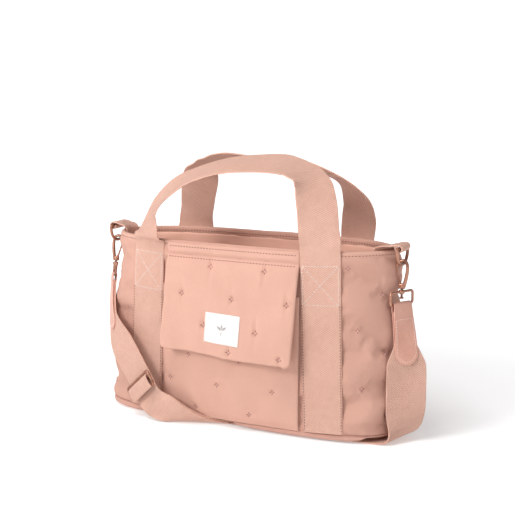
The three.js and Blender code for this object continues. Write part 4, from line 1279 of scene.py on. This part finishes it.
def hook(side):
    clip = Clip(side)
    half = HOOK_WIDTH / 2
    bow = curve([(2.6, 0, -DROP), (half - 1.6, 0, -DROP + 10), (half, 0, -10), (half - 1.6, 0, -2.4), (0.2, 0, 0),
                 (1.8 - half, 0, -2.4), (-half, 0, -7)], 0.8)
    taper = np.interp(np.linspace(0, 1, len(bow)), [0, 0.2, 0.55, 0.9, 1], [1.2, 1.12, 1.0, 0.95, 0.85])
    stem = lathe([(0.2, -17.2), (2.2, -17.1), (2.7, -16.6), (2.7, -15.9), (2.2, -15.5), (1.4, -15.3), (1.4, -4.6),
                  (2.6, -4.2), (3.1, -3.2), (3.1, -2.4), (0.2, -2.2)], (0, 0, -DROP + 1.6), Z)
    body = rounded_block((8.2, 5.4, 6.6), (0.2, 0, -DROP), 1.5)
    metal_piece(f"{side}_snap_hook", f"{side}_hook", clip.place(sweep(bow, 2.0, taper=taper, up=Y), body, stem),
                f"{side}_hook")
    pivot = np.array([-1.4, 0, -DROP + 0.4])
    line = np.linspace(pivot, [-half - 0.1, 0, -9.4], 24)
    line[:, 0] -= 0.5 * np.sin(np.linspace(0, math.pi, 24))
    taper = np.interp(np.linspace(0, 1, 24), [0, 0.12, 0.3, 1], [1.55, 1.35, 1.0, 0.86])
    metal_piece(f"{side}_gate", f"{side}_gate", clip.place(sweep(line, 1.15, sides=12, taper=taper, up=Y)),
                f"{side}_hook_gate")
    head = [(0.1, -3.5), (0.8, -3.45), (1.15, -3.1), (1.15, -2.8), (0.62, -2.6)]
    pin = lathe(head + [(r, -h) for r, h in head[::-1]], pivot, Y, sides=18)
    metal_piece(f"{side}_pin", f"{side}_hook", clip.place(pin), f"{side}_gate_pin")
    return clip


def rounded_loop(width, height, corner, across, up, centre):
    """Points round a rectangle with rounded corners."""
    points = []
    for quarter, (cx, cy) in enumerate(((1, 1), (-1, 1), (-1, -1), (1, -1))):
        for k in range(7):
            a = (quarter + k / 6) * math.pi / 2
            points.append(centre + across * (cx * (width / 2 - corner) + corner * math.cos(a))
                          + up * (cy * (height / 2 - corner) + corner * math.sin(a)))
    dense = []
    for a, b in zip(points, points[1:] + points[:1]):
        count = max(1, int(np.linalg.norm(b - a) / 1.5))
        dense += [lerp(a, b, k / count) for k in range(count)]
    return np.array(dense)


def swivel_loop(side, clip, across):
    """The hook's rectangular loop. Gives the middle and direction of the bar that carries the strap."""
    flat = clip.turn @ across
    flat[2] = 0
    flat = unit(flat)
    centre = np.array([0, 0, -LOOP_DROP - LOOP_HEIGHT / 2 + 1.5])
    line = rounded_loop(LOOP_WIDTH - 3, LOOP_HEIGHT - 3, 3.5, flat, Z, centre)
    boss = lathe([(1.6, 2.3), (3.0, 2.3), (3.6, 1.8), (3.8, 0.4), (3.6, -1.4), (3.0, -2.2), (1.6, -2.3)],
                 (0, 0, -LOOP_DROP - 0.2), Z, sides=24)
    wire = sweep(line, 1.6, closed=True, sides=12, up=np.cross(flat, Z))
    metal_piece(f"{side}_loop", f"{side}_strap", clip.place(wire, boss), f"{side}_swivel_loop")
    return clip.point((0, 0, -LOOP_DROP - LOOP_HEIGHT + 3)), flat @ clip.turn


# ---------- shoulder strap ----------

FLOOR_LAYER = 1.3  # height of the lower layer's middle, and how far above it the upper one lies
UPPER = 5.4
ADJUSTER = (47.0, -32.0)
SLIDER_AT = np.array([-122.6, -80.0, 43.0])
SLIDER_ACROSS = unit((0.731, -0.269, 0.626))
DOWN = np.array([0.61, -0.15, -0.78])
SLIDER_DOWN = unit(DOWN - SLIDER_ACROSS * (DOWN @ SLIDER_ACROSS))
SLIDER_FACE = np.cross(SLIDER_DOWN, SLIDER_ACROSS)


def span(at, across):
    """The webbing's left and right edge at a point."""
    half = unit(across) * WEBBING_WIDTH / 2
    return np.concatenate([at - half, at + half])


def spans(rows):
    return [span(np.array(row[:3], float), row[3:]) for row in rows]


def beside(distance):
    return span(SLIDER_AT + SLIDER_DOWN * distance, SLIDER_ACROSS)


def left_run(bar, across):
    """The strap's edges from the left loop's bar, past the slider and under the bag."""
    low = FLOOR_LAYER
    return np.array([
        span(bar, across), *spans([(-198, -36, 140, .62, -.7, .35), (-180, -59, 113, .62, -.5, .6)]), beside(-62),
        beside(-30), beside(0), beside(18), [-112, -86, 6, -76, -91, 38], [-90, -88, low + .4, -50, -85, 21],
        [-73, -77, low, -28, -70, 6.4], [-56, -60, low, -6, -57, low], [-41, -34, low, 2, -57, low],
        [-2, -12, low, 18, -57, low], *spans([(*ADJUSTER, low, 0, -1, 0)])])


def right_run(bar, across):
    """The strap's edges from the right loop's bar and under the bag."""
    low = FLOOR_LAYER
    return np.array([span(bar, across), *spans([
        (215, -15, 135, .62, .78, 0), (220, -20, 100, .8, .6, 0), (221, -22, 65, .85, .53, 0),
        (221, -23, 34, .75, .66, 0), (219, -22, 14, .45, .89, 0), (210, -21, 4.2, .2, .98, 0),
        (197, -21, low, 0, 1, 0), (150, -26, low, 0, 1, 0), (ADJUSTER[0] + 18, ADJUSTER[1], low, 0, 1, 0)])])


def centripetal(points, shares):
    """The curve that three.js draws through points with centripetal spacing, at shares of its parameter."""
    count = len(points)
    out = []
    for share in shares:
        p = share * (count - 1)
        i = min(int(math.floor(p)), count - 2)
        w = p - i
        p1, p2 = points[i], points[i + 1]
        p0 = points[i - 1] if i > 0 else 2 * points[0] - points[1]
        p3 = points[i + 2] if i + 2 < count else 2 * points[-1] - points[-2]
        d0, d1, d2 = (max(1e-4, np.linalg.norm(b - a) ** 0.5) for a, b in ((p0, p1), (p1, p2), (p2, p3)))
        t1 = ((p1 - p0) / d0 - (p2 - p0) / (d0 + d1) + (p2 - p1) / d1) * d1
        t2 = ((p2 - p1) / d1 - (p3 - p1) / (d1 + d2) + (p3 - p2) / d2) * d1
        c2 = -3 * p1 + 3 * p2 - 2 * t1 - t2
        c3 = 2 * p1 - 2 * p2 + t1 + t2
        out.append(p1 + t1 * w + c2 * w * w + c3 * w ** 3)
    return np.array(out)


class Run:
    """A run of the strap between two shares: middles, directions across and outward faces at even steps."""

    def __init__(self, edges, start, end, step=2.2, lift=None):
        rough = np.linspace(start, end, 400)
        left, right = centripetal(edges[:, :3], rough), centripetal(edges[:, 3:], rough)
        middle = (left + right) / 2
        length = run_of(middle)
        self.run = np.linspace(0, length[-1], max(4, int(round(length[-1] / step))) + 1)
        self.centres = table(self.run, length, middle)
        self.across = table(self.run, length, right - left) / WEBBING_WIDTH
        self.tangent = unit(np.gradient(self.centres, axis=0))
        self.face = unit(np.cross(self.tangent, self.across))
        if lift is not None:
            self.centres = self.centres + self.face * lift(self.run / self.run[-1])[:, None]

    def turned_back(self):
        """Middles of the half turn at the run's end, up to the layer above."""
        return [self.centres[-1] + self.face[-1] * (math.cos(a) - 1) * UPPER / 2
                + self.tangent[-1] * math.sin(a) * UPPER / 2 for a in np.arange(1, 8) * math.pi / 8]


def strap_strip(name, centres, across, width, thickness, finish, narrow=None, waves=None, edge=1.0,
                step_across=3.0, near=(0.15, 0.5, 1.0)):
    line = with_ends(np.concatenate([centres, across], axis=1), near)
    ribbon = Ribbon(line[:, :3], line[:, 3:], width, step_across, narrow, skewed=True)
    if waves is not None:
        ribbon.wave(waves(ribbon.along[:, None], ribbon.across[None, :]))
    return thick(name, ribbon, thickness, finish, edge), ribbon


def leather_tab(side, edges, share):
    """Leather folded over the loop's bar, both layers sewn together round the webbing's end."""
    run = Run(edges, 0, share, 1.6)
    radius = 1.6 + 0.5 + 0.75
    total = run.run[-1]
    away = run.face * lerp(radius, 2.15, smooth(run.run, 3, 16))[:, None]
    over = [run.centres[0] + (run.face[0] * math.cos(a) - run.tangent[0] * math.sin(a)) * radius
            for a in np.arange(1, 10) * math.pi / 10]
    centres = np.concatenate([(run.centres + away)[::-1], over, run.centres - away])
    across = np.concatenate([run.across[::-1], np.tile(run.across[0], (9, 1)), run.across])

    def narrow(along):
        x = np.clip(1 - np.minimum(along, along[-1] - along) / 15.0, 0, 1)
        return np.maximum(0.05, np.sqrt(1 - x * x))

    def waves(v, u):
        return -0.45 * (2 * u / 30) ** 2 + 0.12 * np.sin(v / 9)

    piece, ribbon = strap_strip(f"{side}_leather_tab", centres, across, 30, 1.5, LEATHER, narrow, waves, 0.75, 1.8,
                                (0.3, 0.9, 2.0))
    put(piece, f"{side}_strap", "leather", f"{side}_end_tab")
    stitches = Stitches()
    half, low, top = 12.4, 3.6, total - 18.0
    rise, turn = np.linspace(top, half + low, 24), np.linspace(0, math.pi, 24)
    u = np.concatenate([np.full(24, -half), -half * np.cos(turn), np.full(24, half), np.linspace(half, -half, 16)])
    v = np.concatenate([rise, low + half * (1 - np.sin(turn)), rise[::-1], np.full(16, top)])
    u = u / np.maximum(np.interp(v, ribbon.along, narrow(ribbon.along)), 0.2)
    for layer in (v, ribbon.along[-1] - v):
        stitches.on(ribbon, 0.72, u, layer, 2.5, 0.9, 0.36)
    put(stitches.piece(f"{side}_tab_stitching", THREAD), f"{side}_strap", "leather")


def soft_waves(seed, amount):
    def waves(v, u):
        return noise(v * 0.7, u * 0.5, seed, 60) * amount + 0.5 * (2 * u / WEBBING_WIDTH) ** 2 * np.sin(v / 37)
    return waves


def narrowing(tab_length, start, end):
    """The webbing's share of its width: gathered inside the tab, full below it."""
    return lambda along: lerp(0.54, 1.0, smooth(along, tab_length * start, tab_length * end))


def strap():
    left_clip, right_clip = hook("left"), hook("right")
    left = left_run(*swivel_loop("left", left_clip, np.array([0.6, -0.8, 0])))
    right = right_run(*swivel_loop("right", right_clip, np.array([0.42, 0.91, 0])))
    leather_tab("left", left, 2.1 / 13)
    leather_tab("right", right, 2.05 / 9)
    cloth = (WEBBING_WIDTH, WEBBING, WEBBING_CLOTH)

    # from inside the left tab to the slider and on under the bag
    down = Run(left, 0.2 / 13, 1.0)
    tab = Run(left, 0.2 / 13, 2.1 / 13).run[-1]
    slider_run = down.run[np.argmin(np.linalg.norm(down.centres - SLIDER_AT, axis=1))]

    def left_waves(v, u):
        moving = 1 - smooth(v, slider_run - 110, slider_run - 75) + smooth(v, slider_run + 25, slider_run + 55)
        return soft_waves(101, 0.7)(v, u) * moving * (1 - smooth(v, slider_run + 90, slider_run + 130))

    piece, _ = strap_strip("left_strap_webbing", np.concatenate([down.centres, down.turned_back()]),
                           np.concatenate([down.across, np.tile(down.across[-1], (7, 1))]), *cloth,
                           narrowing(tab, 0.52, 1.08), left_waves)
    bend(piece, "webbing", "bag", "left_strap", (-150, -72, 78), (-186, -54, 122), "left_webbing")

    # the returning layer, back up behind the first one to the slider
    up = Run(left, 1.0, 6.9 / 13, lift=lambda share: lerp(UPPER, 2.6, smooth(share, 0, 0.6)))
    piece, _ = strap_strip("strap_return", up.centres, up.across, WEBBING_WIDTH - 1, WEBBING, WEBBING_CLOTH, None,
                           lambda v, u: soft_waves(103, 0.3)(v, u) * smooth(v, 80, 120))
    put(piece, "bag", "webbing", "long_webbing")

    # from inside the right tab down under the bag, round the ring and back
    down = Run(right, 0.2 / 9, 1.0)
    tab = Run(right, 0.2 / 9, 2.05 / 9).run[-1]
    tail = Run(right, 1.0, 8.5 / 9, lift=lambda share: np.full(len(share), UPPER))
    floor_from = down.run[-1] - 170

    def right_waves(v, u):
        crown = 3.4 * (1 - (2 * u / WEBBING_WIDTH) ** 2) * smooth(v, tab * 0.7, tab * 1.3)
        return (soft_waves(107, 0.8)(v, u) + crown) * (1 - smooth(v, floor_from - 40, floor_from))

    piece, _ = strap_strip("right_strap_webbing", np.concatenate([down.centres, down.turned_back(), tail.centres]),
                           np.concatenate([down.across, np.tile(down.across[-1], (7, 1)), tail.across]), *cloth,
                           narrowing(tab, 0.5, 1.05), right_waves)
    bend(piece, "webbing", "bag", "right_strap", (221, -23, 26), (221, -22, 62), "right_webbing", "short_webbing")


def slider():
    """The slider's frame and bar, and the strap's end sewn round the bar."""
    centre = SLIDER_AT + SLIDER_FACE * 5.2
    line = rounded_loop(55, 20, 4, SLIDER_ACROSS, SLIDER_DOWN, centre)
    wire = sweep(line, 1.6, closed=True, sides=12, up=SLIDER_FACE)
    reach = SLIDER_ACROSS * 27.5
    metal_piece("strap_slider", "slider", joined(wire, sweep(np.linspace(centre - reach, centre + reach, 30), 1.3,
                                                             sides=12)), "slider")
    back = -2.5
    path = [(2.8, 12.5), (3.4, 8.5), (3.8, 4.5)]
    path += [(0.65 + 3.15 * math.sin(a), -6.2 * math.cos(a)) for a in np.radians(np.linspace(90, -90, 13))]
    path += [(back, 3.0), (back, 6.0)]
    centres = curve([centre + SLIDER_FACE * h + SLIDER_DOWN * d for h, d in path], 1.0, blur=0.8)
    piece, ribbon = strap_strip("strap_sewn_end", centres, np.tile(-SLIDER_ACROSS, (len(centres), 1)), 48, 1.8,
                                WEBBING_CLOTH, edge=0.9)
    put(piece, "slider", "webbing", "sewn_end")
    stitches = Stitches()
    for v in (3.0, 5.6):
        stitches.on(ribbon, 0.85, np.linspace(-21.5, 21.5, 26), v, 2.5, 0.7, 0.36)
    put(stitches.piece("sewn_end_stitches", THREAD), "slider", "webbing")


def join_ring():
    """The flat ring under the bag that joins the strap's two ends."""
    centre = np.array([ADJUSTER[0] + 9, ADJUSTER[1], FLOOR_LAYER + UPPER / 2])
    line = rounded_loop(18, WEBBING_WIDTH + 4.6, 4, X, Y, centre)
    metal_piece("strap_join_ring", "bag", sweep(line, 1.3, closed=True, sides=10), "adjuster_ring")


# ---------- light, floor and camera ----------

def placed(name, data, position):
    made = bpy.data.objects.new(name, data)
    made.location = position
    bpy.context.scene.collection.objects.link(made)
    return made


def studio():
    far = 6.0
    mesh = bpy.data.meshes.new("studio_floor")
    mesh.from_pydata([(-far, -far, 0), (far, -far, 0), (far, far, 0), (-far, far, 0)], [], [(0, 1, 2, 3)])
    mesh.materials.append(floor_finish())
    placed("studio_floor", mesh, (0, 0, -0.0006))

    world = bpy.data.worlds.new("studio")
    world.use_nodes = True
    nodes, links = world.node_tree.nodes, world.node_tree.links
    background = nodes["Background"]
    background.inputs["Color"].default_value = (1.0, 1.0, 1.0, 1.0)
    strength = nodes.new("ShaderNodeMapRange")  # softer as a light than as the backdrop
    strength.inputs["To Min"].default_value = 0.42
    strength.inputs["To Max"].default_value = 1.05
    links.new(nodes.new("ShaderNodeLightPath").outputs["Is Camera Ray"], strength.inputs["Value"])
    links.new(strength.outputs[0], background.inputs["Strength"])
    bpy.context.scene.world = world
    for name, position, size, power in (("key", (-0.95, -2.1, 1.45), 1.0, 36), ("fill", (1.6, -1.6, 1.0), 1.6, 4),
                                        ("top", (-0.3, -0.8, 2.3), 1.0, 24)):
        data = bpy.data.lights.new(name, "AREA")
        data.shape, data.size, data.energy = "DISK", size, power
        aim = Vector((0, 0, 0.12)) - Vector(position)
        placed(name, data, position).rotation_euler = aim.to_track_quat("-Z", "Y").to_euler()


def camera():
    azimuth, elevation, distance = math.radians(27.0), math.radians(9.8), 1.5
    target = Vector((0.0055, 0.0, 0.2115))
    back = Vector((math.sin(azimuth) * math.cos(elevation), -math.cos(azimuth) * math.cos(elevation),
                   math.sin(elevation)))
    data = bpy.data.cameras.new("camera")
    data.lens, data.sensor_width, data.clip_end = 80.4, 36.0, 50.0
    made = placed("camera", data, target + back * distance)
    made.rotation_euler = back.to_track_quat("Z", "Y").to_euler()
    bpy.context.scene.camera = made
    bpy.context.scene.view_settings.view_transform = "Standard"


walls()
rim()
lining()
base()
handle("front")
handle("back")
pocket()
flap()
snaps()
for name in ("left", "right"):
    d_ring(name)
    ring_tab(name)
strap()
slider()
join_ring()
studio()
camera()
